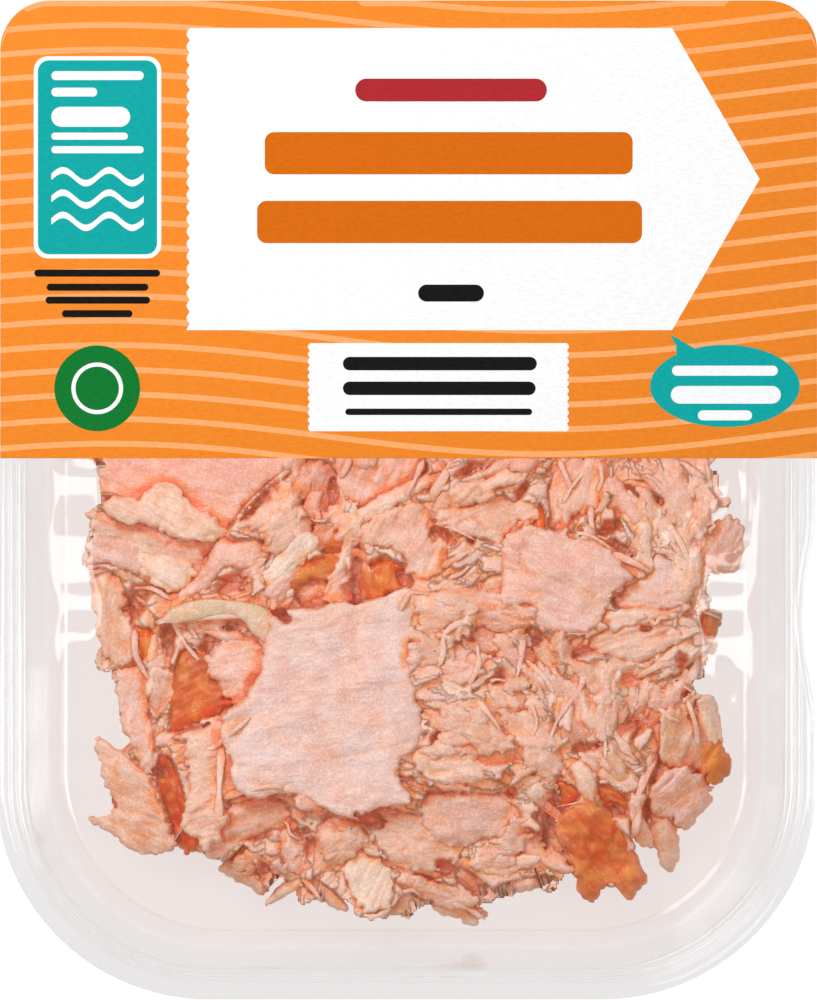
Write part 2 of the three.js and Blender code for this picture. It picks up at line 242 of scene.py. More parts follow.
class Finish:
    """A material, its nodes, and short ways to make and link them."""

    def __init__(self, name):
        self.material = bpy.data.materials.new(name)
        self.material.use_nodes = True
        self.nodes = self.material.node_tree.nodes
        self.links = self.material.node_tree.links
        self.shader = self.nodes["Principled BSDF"]
        self.out = self.nodes["Material Output"]

    def node(self, kind, **settings):
        made = self.nodes.new(kind)
        for key, value in settings.items():
            setattr(made, key, value)
        return made

    def put(self, node, **values):
        for key, value in values.items():
            node.inputs[key.replace("_", " ")].default_value = value
        return node

    def link(self, source, target):
        self.links.new(source, target)

    def noise(self, vector, scale, detail, roughness=0.55):
        made = self.node("ShaderNodeTexNoise")
        self.put(made, Scale=scale, Detail=detail, Roughness=roughness)
        self.link(vector, made.inputs["Vector"])
        return made.outputs["Fac"]

    def place(self, scale=(1.0, 1.0, 1.0)):
        """The point's own place in metres, stretched by scale."""
        coordinates = self.node("ShaderNodeTexCoord")
        mapping = self.node("ShaderNodeMapping")
        mapping.inputs["Scale"].default_value = scale
        self.link(coordinates.outputs["Object"], mapping.inputs["Vector"])
        return mapping.outputs["Vector"]

    def ramp(self, value, low, high, at_low, at_high):
        made = self.node("ShaderNodeMapRange")
        self.link(value, made.inputs["Value"])
        self.put(made, From_Min=low, From_Max=high, To_Min=at_low, To_Max=at_high)
        return made.outputs["Result"]

    def mix(self, share, first, second):
        """A blend of two colours, each a node's output or three numbers."""
        made = self.node("ShaderNodeMix", data_type="RGBA")
        self.link(share, made.inputs[MIX_SHARE])
        for socket, colour in ((made.inputs[MIX_FIRST], first), (made.inputs[MIX_SECOND], second)):
            if isinstance(colour, tuple):
                socket.default_value = (*colour, 1.0)
            else:
                self.link(colour, socket)
        return made.outputs[MIX_RESULT]

    def layer(self, share, below, above):
        made = self.node("ShaderNodeMixShader")
        for socket, source in zip(made.inputs, (share, below, above)):
            self.link(source, socket)
        return made.outputs[0]

    def bump(self, height, distance, strength=1.0, over=None):
        made = self.node("ShaderNodeBump")
        self.put(made, Strength=strength, Distance=distance)
        self.link(height, made.inputs["Height"])
        if over is not None:
            self.link(over, made.inputs["Normal"])
        return made.outputs["Normal"]


# %% [markdown]
# ## Clear plastic
# Each face of the clear plastic takes a little light away, so the white ground looks pale grey through it.
# Low down it is a little rosy: partly the moisture of the fish, partly a painted reflection of the fish's
# colour. It mirrors more at a slant, and faint haze from moulding makes it milky. So the finish mixes a
# see-through shader, a milky one and a mirror.

# %% Finish of the tray and the film
ROSY_BELOW, CLEAR_ABOVE = 1.0, 6.0
MILK_COLOUR = (0.86, 0.85, 0.85, 1.0)
MILK_ROUGHNESS = 0.35
SMUDGE_RANGE = (0.35, 0.7)
SLANT_BLEND, SLANT_POWER = 0.5, 3.0
RIPPLE_SCALE = 60.0


def clear_plastic(name, tint, moist, milk, mirror, gloss_roughness, smudge_scale, ripple_depth):
    """The shares of milk and mirror are given as their least and most."""
    finish = Finish(name)
    through = finish.node("ShaderNodeBsdfTransparent")
    height = finish.node("ShaderNodeSeparateXYZ")
    finish.link(finish.place(), height.inputs[0])
    # Low down the plastic is tinted rosy: partly moisture, partly a painted reflection of the fish.
    low_down = finish.ramp(height.outputs["Z"], ROSY_BELOW * MM, CLEAR_ABOVE * MM, 1.0, 0.0)
    finish.link(finish.mix(low_down, tint, moist), through.inputs["Color"])
    finish.put(finish.shader, Base_Color=MILK_COLOUR, Roughness=MILK_ROUGHNESS)
    smudges = finish.noise(finish.place(), smudge_scale, 1.0)
    milk_share = finish.ramp(smudges, *SMUDGE_RANGE, *milk)
    milky = finish.layer(milk_share, through.outputs[0], finish.shader.outputs[0])
    shine = finish.node("ShaderNodeBsdfGlossy")
    finish.put(shine, Color=(1.0, 1.0, 1.0, 1.0), Roughness=gloss_roughness)
    slant = finish.node("ShaderNodeLayerWeight")
    slant.inputs["Blend"].default_value = SLANT_BLEND
    rise = finish.node("ShaderNodeMath", operation="POWER")
    finish.link(slant.outputs["Facing"], rise.inputs[0])
    rise.inputs[1].default_value = SLANT_POWER
    glossy = finish.layer(finish.ramp(rise.outputs[0], 0.0, 1.0, *mirror), milky, shine.outputs[0])
    finish.link(glossy, finish.out.inputs["Surface"])
    ripple = finish.bump(finish.noise(finish.place(), RIPPLE_SCALE, 0.0), ripple_depth * MM)
    finish.link(ripple, shine.inputs["Normal"])
    finish.link(ripple, finish.shader.inputs["Normal"])
    return finish.material


# The moist tint is partly the fish's moisture, partly a painted reflection of its colour.
CLEAR_TINT, MOIST_AND_REFLECTED_TINT, FILM_TINT = (0.905, 0.90, 0.90), (0.93, 0.89, 0.88), (0.992, 0.992, 0.992)
tray_finish = clear_plastic(
    "clear_tray_plastic", CLEAR_TINT, MOIST_AND_REFLECTED_TINT, milk=(0.01, 0.04), mirror=(0.03, 0.5),
    gloss_roughness=0.14, smudge_scale=90.0, ripple_depth=0.12,
)
film_finish = clear_plastic(
    "clear_film_plastic", FILM_TINT, FILM_TINT, milk=(0.0, 0.01), mirror=(0.012, 0.5),
    gloss_roughness=0.05, smudge_scale=70.0, ripple_depth=0.1,
)
print("clear finishes:", tray_finish.name, film_finish.name)

# %% [markdown]
# ## The tray
# The real tray is one thin sheet, drawn down over a mould. So its shape is one profile, from the sealing
# flange over a step and down the wall to the floor, carried round a rounded outline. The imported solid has
# sharp bends and few corners. Here the bends are eased and the outline has many more points.

# %% Shape of the tray
SKIN = 0.6
FLANGE = 3.1
LEDGE = 1.9
STEP_DOWN = 1.2
WALL_RUN = 4.2
FLOOR_INSET = 10.6
CORNER_RADIUS = 36.2
CORNER_NARROWING = 0.79
NOTCH_Y = -20.1
NOTCH_HALF_LENGTH = 17.6
NOTCH_DEPTH = 2.2
NOTCH_SHARPNESS = 1.6
CORNER_STEPS = 26
NOTCH_STEPS = 36

tray_middle = (tray_low + tray_high) / 2
tray_half = (tray_high - tray_low) / 2
rim_z = tray_high[2]


def tray_outline(inset):
    """The tray's outline at a distance in from its edge, anticlockwise from the lower right corner."""
    half_width, half_length = tray_half[0] - inset, tray_half[1] - inset
    radius = CORNER_RADIUS - CORNER_NARROWING * inset
    points = []
    for across, along, start in ((1, -1, -90), (1, 1, 0), (-1, 1, 90), (-1, -1, 180)):
        angle = np.radians(start + np.linspace(0, 90, CORNER_STEPS))
        x = across * (half_width - radius) + radius * np.cos(angle)
        y = along * (half_length - radius) + radius * np.sin(angle)
        points.append(np.column_stack([x, y]))
        if start == -90:
            run = np.linspace(-1, 1, NOTCH_STEPS)
            y = NOTCH_Y - tray_middle[1] + NOTCH_HALF_LENGTH * run
            cut = NOTCH_DEPTH * np.cos(run * math.pi / 2) ** NOTCH_SHARPNESS * max(0.0, 1 - inset / FLANGE)
            points.append(np.column_stack([half_width - np.nan_to_num(cut), y]))
    return np.concatenate(points) + tray_middle[:2]


print("points round the tray:", len(tray_outline(0.0)))

# %% Bends, and rings joined into a solid
BEND_RADIUS = 0.7
BEND_STEPS = 4
BEND_GUARD = 0.12


def eased(profile):
    """The same line with its bends rounded, and a guard point beside each bend to keep the flats flat."""
    profile = np.array(profile, float)
    line = [profile[0]]
    for before, bend, after in zip(profile, profile[1:], profile[2:]):
        sides = (before - bend, after - bend)
        near = [bend + side * min(0.45, BEND_RADIUS / np.linalg.norm(side)) for side in sides]
        line.append(near[0] + (before - near[0]) * BEND_GUARD)
        for t in np.linspace(0, 1, BEND_STEPS):
            line.append((1 - t) ** 2 * near[0] + 2 * t * (1 - t) * bend + t * t * near[1])
        line.append(near[1] + (after - near[1]) * BEND_GUARD)
    line.append(profile[-1])
    return line


def lofted(name, rings, centres):
    """A closed solid: rings of points joined in order, with a fan of triangles at each end."""
    around = len(rings[0])
    side = np.arange(around)
    follow = (side + 1) % around
    start = np.arange(len(rings) - 1)[:, None] * around
    quads = np.stack([start + side, start + around + side, start + around + follow, start + follow], -1)
    first, last = len(rings) * around, len(rings) * around + 1
    low = (len(rings) - 1) * around
    tris = np.concatenate([
        np.column_stack([np.full(around, first), side, follow]),
        np.column_stack([np.full(around, last), low + follow, low + side]),
    ])
    return new_mesh(name, np.concatenate([*rings, centres]), quads.reshape(-1, 4), tris)


# %% The tray from its profile
ledge_end = FLANGE + LEDGE
ledge_z = rim_z - STEP_DOWN
wall_foot = ledge_end + WALL_RUN
# Each point of a profile is its distance in from the edge and its height.
inside_profile = [
    (FLOOR_INSET + 6, SKIN), (FLOOR_INSET + 1, SKIN), (FLOOR_INSET, SKIN + 0.3), (wall_foot, SKIN + 2),
    (ledge_end + 0.3, ledge_z - 0.4), (ledge_end, ledge_z), (FLANGE + 0.4, ledge_z), (FLANGE, rim_z),
    (0.12, rim_z), (0, rim_z - 0.12),
]
outside_profile = [
    (0, rim_z - SKIN + 0.12), (0.12, rim_z - SKIN), (FLANGE - 0.5, rim_z - SKIN),
    (FLANGE - 0.1, ledge_z - SKIN), (ledge_end - 0.5, ledge_z - SKIN), (wall_foot - 0.6, SKIN + 1.4),
    (FLOOR_INSET - 0.4, 0.3), (FLOOR_INSET + 0.8, 0), (FLOOR_INSET + 6, 0),
]
tray_rings = []
for inset, z in eased(inside_profile) + eased(outside_profile):
    outline = tray_outline(inset)
    tray_rings.append(np.column_stack([outline, np.full(len(outline), z)]))
tray = lofted("clear_tray", tray_rings, [[*tray_middle[:2], SKIN], [*tray_middle[:2], 0.0]])
dress(tray, tray_finish, "tray")
print("tray faces:", len(tray.data.polygons))

# %% [markdown]
# ## The film
# The film is sealed to the flange and pulled tight, but it isn't flat. It slopes a little near the long
# sides and puckers into shallow wrinkles beside the card. Both catch the side lamps as white streaks. It is
# made of rings of points from the middle out to the tray's outline, lifted at the slopes and along drawn
# lines.

# %% Slopes and wrinkles of the film
# A wrinkle is a path, a width and a height. A slope is its side, where it peaks and ends across the pack,
# its rise, and where it starts and ends along the pack.
WRINKLES = [
    ([(50.0, 7), (53.0, 2.5), (51.0, -1), (48.0, -3.5)], 0.8, 0.5),
    ([(57.5, 7), (58.5, 0), (57.8, -6), (55.5, -9)], 0.7, 0.5),
    ([(53.5, -1.5), (51.5, -3.5), (50.5, -4)], 0.6, 0.4),
]
SLOPES = [(-1, 52.5, 59.3, 1.07, -25.0, 12.0), (1, 50.0, 58.3, 1.45, -31.0, -7.0)]
SLOPE_RUN = 20
SLOPE_SOFTNESS = 4
FILM_SLACK = 0.1
FILM_REACH = 1.6


def ridge(x, y, path, width, height):
    """A soft ridge along a drawn line of points."""
    nearest = np.full(np.shape(x), np.inf)
    for (ax, ay), (bx, by) in zip(path, path[1:]):
        run = np.clip(((x - ax) * (bx - ax) + (y - ay) * (by - ay)) / ((bx - ax) ** 2 + (by - ay) ** 2), 0, 1)
        nearest = np.minimum(nearest, np.hypot(x - ax - run * (bx - ax), y - ay - run * (by - ay)))
    return height * np.exp(-((nearest / width) ** 2))


def sloping(x, y, side, inner, outer, rise, low, high):
    """The film climbs slowly towards the side and falls to the flange again."""
    outward = side * x + 1.6 * noise(x * 0, y / 6.0, 0.0, 404)
    climb = np.interp(outward, [inner - SLOPE_RUN, inner, outer], [0, rise, 0])
    edge = y + 3.0 * noise(x / 3.0, y / 4.0, 0.0, 403)
    starts = smooth_step(low - SLOPE_SOFTNESS, low + SLOPE_SOFTNESS, edge)
    return climb * starts * smooth_step(high + SLOPE_SOFTNESS, high - SLOPE_SOFTNESS, edge)


def film_height(x, y):
    """How far the film stands above its flat sheet: nothing on the flange and under the card."""
    lift = sum(ridge(x, y, *wrinkle) for wrinkle in WRINKLES) + sum(sloping(x, y, *slope) for slope in SLOPES)
    lift = lift + 0.03 * noise(x / 9.0, y / 14.0, 0.0, 401) + 0.01 * noise(x / 3.0, y / 5.0, 0.0, 402)
    inward = np.minimum(tray_half[0] - np.abs(x - tray_middle[0]), tray_half[1] - np.abs(y - tray_middle[1]))
    bare = smooth_step(card_low[1] + 0.5, card_low[1] - 1.5, y)
    return np.clip(lift, -FILM_SLACK, FILM_REACH) * smooth_step(2.5, 7.0, inward) * bare


print("film beside the heap, mm above its sheet:", np.round(film_height(np.array([-52.0, 49.0]), -20.0), 2))

# %% Shape of the film
RING_SHARES = np.concatenate([np.linspace(0.02, 0.6, 22), np.linspace(0.61, 0.98, 56), [1.0]])
FILM_STEP = 1.6


def divided(outline, step):
    """The same outline with points at most a step apart."""
    sides = []
    for start, end in zip(outline, np.roll(outline, -1, axis=0)):
        parts = math.ceil(math.dist(start, end) / step)
        sides.append(start + (end - start) * np.arange(parts)[:, None] / parts)
    return np.concatenate(sides)


film_rings = []
for share in RING_SHARES:
    flat = tray_middle[:2] + (divided(tray_outline(0.0), FILM_STEP) - tray_middle[:2]) * share
    film_rings.append(np.column_stack([flat, film_high[2] + film_height(flat[:, 0], flat[:, 1])]))
under = [ring - [0, 0, film_high[2] - film_low[2]] for ring in film_rings[::-2]]
ends = [[*tray_middle[:2], film_high[2]], [*tray_middle[:2], film_low[2]]]
film = lofted("clear_film", film_rings + under, ends)
dress(film, film_finish, "lid_film")
film.visible_shadow = False
print("film faces:", len(film.data.polygons))

# %% [markdown]
# ## The card
# The label is an orange card with two rounded corners and paler wavy stripes. Its print is rebuilt as plain
# fields of colour: panels, a disc, an ellipse, and rounded bars where lines of text would stand. Each field
# is a thin sheet two hundredths of a millimetre above the one below, as ink lies on card.

# %% Finishes of the printed card
LAMP_STRENGTH = 1.16
PRINT_SHEEN = 0.01
PRINT_ROUGHNESS = 0.5
PRINT_SPECKLE = 0.06
INKS = {
    "orange": (245, 140, 49),
    "stripe": (250, 174, 111),
    "white": (250, 250, 250),
    "teal": (0, 168, 165),
    "green": (5, 122, 53),
    "title": (217, 109, 17),
    "red": (178, 49, 54),
    "black": (33, 31, 31),
}


def under_lamps(colour):
    """The ink that looks like this colour once the lamps and the sheen of the print are added."""
    return tuple(max(0.001, (c - PRINT_SHEEN) / LAMP_STRENGTH) for c in linear(*colour))


def print_finish(name, colour):
    """Matt ink, speckled a little by the fibres of the card."""
    finish = Finish(name)
    fibres = finish.noise(finish.place((1.0, 2.5, 1.0)), 900.0, 4.0, 0.6)
    darker = tuple(c * (1 - PRINT_SPECKLE) for c in colour)
    lighter = tuple(min(1.0, c * (1 + PRINT_SPECKLE) + 0.004) for c in colour)
    speckled = finish.mix(finish.ramp(fibres, 0.3, 0.7, 0.0, 1.0), darker, lighter)
    finish.link(speckled, finish.shader.inputs["Base Color"])
    finish.link(finish.bump(fibres, 0.01 * MM, 0.5), finish.shader.inputs["Normal"])
    finish.put(finish.shader, Roughness=PRINT_ROUGHNESS, Specular_IOR_Level=0.05)
    return finish.material


inks = {name: print_finish(f"print_{name}", under_lamps(colour)) for name, colour in INKS.items()}
print("inks:", ", ".join(inks))

# %% Shape of the card
CARD_RADIUS = 8.5
CARD_EASING = 0.12
INK_ROOM = 0.06
BOX_STEPS, CARD_STEPS = 8, 24
card_middle = (card_low + card_high) / 2
card_face = card_high[2] - INK_ROOM


def arc(x, y, radius, start, end, steps):
    angle = np.radians(np.linspace(start, end, steps))
    return [(x + radius * math.cos(a), y + radius * math.sin(a)) for a in angle]


def rounded_box(left, low, right, high, radius):
    """A box with four rounded corners, anticlockwise from the lower right one."""
    points = []
    for x, y, start in (
        (right - radius, low + radius, -90), (right - radius, high - radius, 0),
        (left + radius, high - radius, 90), (left + radius, low + radius, 180),
    ):
        points += arc(x, y, radius, start, start + 90, BOX_STEPS)
    return np.array(points)


def card_outline(inset):
    left, right = card_low[0] + inset, card_high[0] - inset
    low, high = card_low[1] + inset, card_high[1] - inset
    radius = CARD_RADIUS - inset
    upper_right = arc(right - radius, high - radius, radius, 0, 90, CARD_STEPS)
    upper_left = arc(left + radius, high - radius, radius, 90, 180, CARD_STEPS)
    return np.array([(left, low), (right, low)] + upper_right + upper_left)


card_rings = []
for inset, z in (
    (CARD_EASING, card_low[2]), (0.0, card_low[2] + CARD_EASING),
    (0.0, card_high[2] - CARD_EASING), (CARD_EASING, card_face),
):
    outline = card_outline(inset)
    card_rings.append(np.column_stack([outline, np.full(len(outline), z)]))
ends = [[*card_middle[:2], card_face], [*card_middle[:2], card_low[2]]]
card = lofted("label_card", card_rings[::-1], ends)
dress(card, inks["orange"], "label")
card.visible_shadow = False
print("card faces:", len(card.data.polygons))

# %% A thin sheet of ink
INK_STEP = 0.02
ON_CARD, ON_STRIPES, ON_PANELS, ON_COLOURS = 1, 2, 3, 4


class Sheet(Basket):
    """Flat shapes of one ink, each a fan of triangles from its middle or a strip of quads."""

    def __init__(self, ink):
        super().__init__()
        self.ink = ink

    def lay(self, flat, level, quads, tris):
        points = np.column_stack([flat, np.full(len(flat), card_face + level * INK_STEP)])
        self.add(points, quads, tris, (), ())

    def field(self, outline, level, middle=None):
        outline = np.asarray(outline, float)
        middle = outline.mean(0) if middle is None else np.array(middle, float)
        n = len(outline)
        side = np.arange(n)
        fan = np.column_stack([np.full(n, n), side, (side + 1) % n])
        self.lay(np.vstack([outline, middle]), level, (), fan)

    def strip(self, lower, upper, level):
        n = len(lower)
        step = np.arange(n - 1)
        quads = np.column_stack([step, step + 1, n + step + 1, n + step])
        self.lay(np.vstack([lower, upper]), level, quads, ())

    def bars(self, rows, level):
        """Rounded bars, each given by its left end, its right end, its middle height and its thickness."""
        for left, right, middle, high in rows:
            self.field(rounded_box(left, middle - high / 2, right, middle + high / 2, high / 2.01), level)

    def lay_down(self):
        piece = self.poured(f"label_print_{self.ink}", smooth=False)
        dress(piece, inks[self.ink], "label")
        piece.visible_shadow = False
        print(f"{self.ink} print: {len(piece.data.polygons)} faces")


# %% [markdown]
# The stripes are one wave, drawn again and again down the card and cut to its outline. The other fields lie
# over them: an arrow-shaped panel and a tag with scalloped edges, a rounded frame, and bars and waves on top
# of the colours.

# %% Wavy stripes
STRIPE_PITCH = 4.19
STRIPE_WIDTH = 1.0
STRIPE_WAVE = 148.0
STRIPE_SWING = 2.98
STRIPE_DROP = 2.47
STRIPE_CREST_X = -50.4

stripes = Sheet("stripe")
stripe_x = np.linspace(card_low[0], card_high[0], 150)
past_corner = np.maximum(0, np.abs(stripe_x - card_middle[0]) - (card_middle[0] - card_low[0] - CARD_RADIUS))
card_top = card_high[1] - CARD_RADIUS + np.sqrt(np.maximum(0, CARD_RADIUS**2 - past_corner**2))
wave = STRIPE_DROP - STRIPE_SWING * np.cos(2 * math.pi * (stripe_x - STRIPE_CREST_X) / STRIPE_WAVE)
for order in range(-1, 21):
    crest = card_high[1] - STRIPE_PITCH * order - wave
    high = np.clip(crest, card_low[1], card_top)
    low = np.clip(high - STRIPE_WIDTH, card_low[1], card_top)
    low = np.where(crest - STRIPE_WIDTH > card_top, card_top, low)
    stripes.strip(np.column_stack([stripe_x, low]), np.column_stack([stripe_x, high]), ON_CARD)
stripes.lay_down()

# %% White fields
ARROW_LEFT, ARROW_SHOULDER, ARROW_TIP = -36.8, 45.2, 60.1
ARROW_LOW, ARROW_MIDDLE, ARROW_HIGH = 28.9, 54.6, 80.3
TAG_LEFT, TAG_RIGHT, TAG_LOW, TAG_HIGH = -16.4, 27.3, 11.7, 26.7
DISC = np.array([-52.6, 19.0])
DISC_RADIUS, RING_OUTER, RING_INNER = 7.3, 4.4, 3.7
WAVES_LEFT, WAVES_RIGHT, WAVE_LENGTH, WAVE_SWING, WAVE_HALF = -60.4, -44.7, 7.85, 1.1, 0.55


def scalloped(x, low, high, pitch, depth, outward):
    """Points down or up one edge with small round bites."""
    y = np.linspace(low, high, max(12, int(abs(high - low) / pitch) * 8))
    return [(x + outward * depth * abs(math.sin(math.pi * (v - low) / pitch)), v) for v in y]


white = Sheet("white")
arrow = [
    (ARROW_SHOULDER, ARROW_HIGH), *scalloped(ARROW_LEFT, ARROW_HIGH, ARROW_LOW, 2.1, 0.6, -1),
    (ARROW_SHOULDER, ARROW_LOW), (ARROW_TIP, ARROW_MIDDLE),
]
white.field(arrow, ON_STRIPES, (10.0, ARROW_MIDDLE))
tag_left = scalloped(TAG_LEFT, TAG_HIGH, TAG_LOW, 1.25, 0.35, -1)
white.field([*tag_left, *scalloped(TAG_RIGHT, TAG_LOW, TAG_HIGH, 1.25, 0.35, 1)], ON_STRIPES)
white.field(rounded_box(-63.4, 41.1, -41.7, 75.5, 2.4), ON_STRIPES)
for crest_y in (55.0, 51.2, 47.4):
    x = np.linspace(WAVES_LEFT, WAVES_RIGHT, 40)
    y = crest_y + WAVE_SWING * np.sin(2 * math.pi * (x - WAVES_LEFT) / WAVE_LENGTH)
    white.strip(np.column_stack([x, y - WAVE_HALF]), np.column_stack([x, y + WAVE_HALF]), ON_COLOURS)
white.bars([
    (-60.4, -44.7, 72.2, 1.5), (-60.4, -52.6, 69.4, 1.5), (-60.4, -47.0, 65.2, 3.4),
    (-60.4, -47.4, 61.9, 1.2), (-60.4, -44.7, 59.6, 1.2), (45.2, 63.2, 22.0, 1.7),
    (45.0, 63.7, 17.9, 3.0), (49.6, 58.8, 14.4, 1.7),
], ON_COLOURS)
ring_turn = np.radians(np.linspace(0, 360, 64))
circle = np.column_stack([np.cos(ring_turn), np.sin(ring_turn)])
white.strip(circle * RING_OUTER + DISC, circle * RING_INNER + DISC, ON_COLOURS)
white.lay_down()

# %% Coloured and black fields
bubble_tail = [(46.0, 23.0), (50.5, 25.0), (47.6, 26.6), (44.9, 28.2), (45.9, 26.2)]
teal = Sheet("teal")
teal.field(rounded_box(-62.7, 41.8, -42.4, 74.8, 1.9), ON_PANELS)
teal.field(circle[:-1] * [12.75, 7.0] + [54.2, 19.4], ON_PANELS)
teal.field(bubble_tail, ON_STRIPES)
teal.lay_down()
for ink, outlines in (
    ("green", [circle[:-1] * DISC_RADIUS + DISC]),
    ("red", [rounded_box(-8.7, 67.8, 23.9, 71.7, 1.9)]),
    ("title", [rounded_box(-24.1, 55.4, 38.5, 62.6, 1.6), rounded_box(-25.4, 43.7, 40.1, 50.9, 1.6)]),
):
    sheet = Sheet(ink)
    for outline in outlines:
        sheet.field(outline, ON_PANELS)
    sheet.lay_down()
black = Sheet("black")
black.bars([
    (2.0, 13.2, 35.2, 2.9), (-10.8, 22.2, 23.2, 2.3), (-10.8, 22.0, 19.0, 2.3), (-10.4, 21.4, 15.0, 1.1),
    (-63.3, -41.9, 38.6, 1.2), (-61.2, -43.9, 36.2, 1.2), (-61.4, -43.6, 34.0, 1.2),
    (-58.6, -46.6, 31.7, 1.2),
], ON_PANELS)
black.lay_down()

# %% [markdown]
# ## Flesh
# Cooked salmon is pale and moist. Light goes a little way in and comes out warmer, so the gaps between
# flakes look orange. Real scattering would leak through flakes that overlap, so the gaps' warm shade is
# painted into the mesh colours, with a faint painted glow that isn't used as a lamp. Fibres run along each
# flake, so their noise is stretched along the fibre place. A finer noise gives the pale, grainy bloom of
# cooked protein.

# %% Finish of the fish
FIBRE_STRETCH = (0.35, 1.4, 1.0)
PORE_SCALE, BLOTCH_SCALE = 2300.0, 430.0
PORE_DEPTH, PORE_STRENGTH = 0.14, 0.9
FLESH_IOR = 1.4
LEAST_GLOW, MOST_GLOW = 0.02, 0.10
PAINTED_GAP_GLOW = (1.0, 0.25, 0.04)


def fish_finish(
    name, roughness, gloss, fibre_depth, speckle, patch_scale, warm, warm_share, grain, bloom, bloom_share
):
    """Mesh colours with painted shade and glow, and warm patches, pale bloom, fibres and pores over them."""
    finish = Finish(name)
    paint = finish.node("ShaderNodeAttribute", attribute_name="flesh_colour_and_painted_shade")
    place = finish.node("ShaderNodeAttribute", attribute_name="fibre_place")
    stretch = finish.node("ShaderNodeMapping")
    stretch.inputs["Scale"].default_value = FIBRE_STRETCH
    finish.link(place.outputs["Vector"], stretch.inputs["Vector"])
    fibres = finish.noise(stretch.outputs["Vector"], 1.0, 2.0, 0.65)
    pores = finish.noise(finish.place(), PORE_SCALE, 1.0, 0.7)
    patches = finish.noise(finish.place(), patch_scale, 2.0, 0.65)
    blotches = finish.noise(finish.place((1.0, 1.0, 0.6)), BLOTCH_SCALE, 1.0, 0.6)
    base = paint.outputs["Color"]
    for noise_value, low, high, at_low, at_high, tint in (
        (patches, 0.46, 0.70, 0.0, warm_share, warm),
        (blotches, 0.48, 0.70, 0.0, bloom_share, bloom),
        (fibres, 0.26, 0.48, 0.26, 0.0, warm),
        (fibres, 0.54, 0.74, 0.0, 0.22, bloom),
        (pores, 0.36, 0.60, 0.34 * speckle, 0.0, grain),
        (pores, 0.50, 0.72, 0.0, 0.45 * speckle, bloom),
    ):
        base = finish.mix(finish.ramp(noise_value, low, high, at_low, at_high), base, tint)
    finish.link(base, finish.shader.inputs["Base Color"])
    lines = finish.bump(fibres, fibre_depth * MM)
    finish.link(finish.bump(pores, PORE_DEPTH * MM, PORE_STRENGTH, lines), finish.shader.inputs["Normal"])
    finish.put(finish.shader, Roughness=roughness, IOR=FLESH_IOR, Specular_IOR_Level=gloss)
    # Painted glow: the alpha of the mesh colours lights gaps and steep sides from within, though the flesh is
    # no lamp.
    finish.put(finish.shader, Emission_Color=(*PAINTED_GAP_GLOW, 1.0))
    glow = finish.ramp(paint.outputs["Alpha"], 0.0, 1.0, LEAST_GLOW, MOST_GLOW)
    finish.link(glow, finish.shader.inputs["Emission Strength"])
    finish.material.cycles.emission_sampling = "NONE"
    return finish.material


ORANGE_TINGE, ROSY_GRAIN, PALE_BLOOM = (0.78, 0.36, 0.19), (0.66, 0.30, 0.22), (0.86, 0.68, 0.60)
CRUST_BROWN, CRUST_GOLD = (0.40, 0.08, 0.01), (0.84, 0.34, 0.07)
flesh = fish_finish(
    "salmon_flesh", roughness=0.42, gloss=0.35, fibre_depth=0.2, speckle=0.9, patch_scale=170.0,
    warm=ORANGE_TINGE, warm_share=0.5, grain=ROSY_GRAIN, bloom=PALE_BLOOM, bloom_share=0.4,
)
smoked = fish_finish(
    "smoked_crust", roughness=0.22, gloss=0.5, fibre_depth=0.15, speckle=0.3, patch_scale=110.0,
    warm=CRUST_BROWN, warm_share=0.8, grain=CRUST_BROWN, bloom=CRUST_GOLD, bloom_share=0.45,
)
print("fish finishes:", flesh.name, smoked.name)

# %% [markdown]
# ## The shape of the heap
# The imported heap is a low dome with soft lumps, and flakes that stand on it. The same rule gives the height
# of the hidden half here. A share of 0 is the middle of the heap and 1 is its foot.

# %% The dome of the heap
HEAP_HALF_WIDTH = 50.0
HEAP_HALF_LENGTH = 65.0
HEAP_SQUARENESS = 2.6
HEAP_EDGE = 2.5
HEAP_RISE = 10.5
HEAP_SHOULDER = 3.0
HEAP_CEILING = 21.9
heap_base = heap_low[2]


def heap_share(x, y):
    across = np.abs(x / HEAP_HALF_WIDTH) ** HEAP_SQUARENESS
    along = np.abs(y / HEAP_HALF_LENGTH) ** HEAP_SQUARENESS
    return (across + along) ** (1 / HEAP_SQUARENESS)


def pile_height(x, y):
    share = np.minimum(1.0, heap_share(x, y))
    dome = HEAP_RISE * (1 - share**HEAP_SHOULDER)
    lumps = np.sin(x / 6.3 + 1) * np.cos(y / 7.9) + 0.6 * np.sin(x / 3.1 - y / 4.3)
    return heap_base + HEAP_EDGE + dome + lumps * (1 - share)


print("height of the dome in the middle, mm:", round(float(pile_height(0.0, 0.0)), 1))

# %% [markdown]
# ## Colours of the flakes
# No two flakes have quite the same pink. Most are peach, some are paler or rosier, and those from near the
# skin are grey or mauve. Pieces from the outside of the fillet have taken the smoke: they are orange and
# glossy. The gaps get a painted shade: deeper colours that stand in for light that has passed through flesh
# many times.

# %% Flake colours in linear light
SHADES = {
    "peach": (223, 173, 150),
    "rosy": (222, 167, 152),
    "pale": (229, 190, 168),
    "mauve": (219, 186, 179),
    "grey": (209, 162, 145),
    "cream": (230, 202, 182),
    "tan": (216, 160, 126),
    "smoked": (205, 86, 14),
    "amber": (216, 118, 36),
    "fat": (208, 182, 142),
    # Painted shade of the gaps, for cells and flanks where no flake lies.
    "deep": (222, 132, 80),
}
SHADES = {name: np.array(linear(*value)) for name, value in SHADES.items()}
# Painted shade: creases, contact lines under a neighbour's edge and deep gaps are darkened and warmed by
# these.
CREASE_PAINTED_SHADE = np.array([1.0, 0.74, 0.44])
CONTACT_PAINTED_SHADE = np.array([1.0, 0.54, 0.21])
GAP_PAINTED_SHADE = np.array([0.80, 0.27, 0.08])
SMOKED_SHADES = ("smoked", "amber")
print("flake shades:", sorted(SHADES))
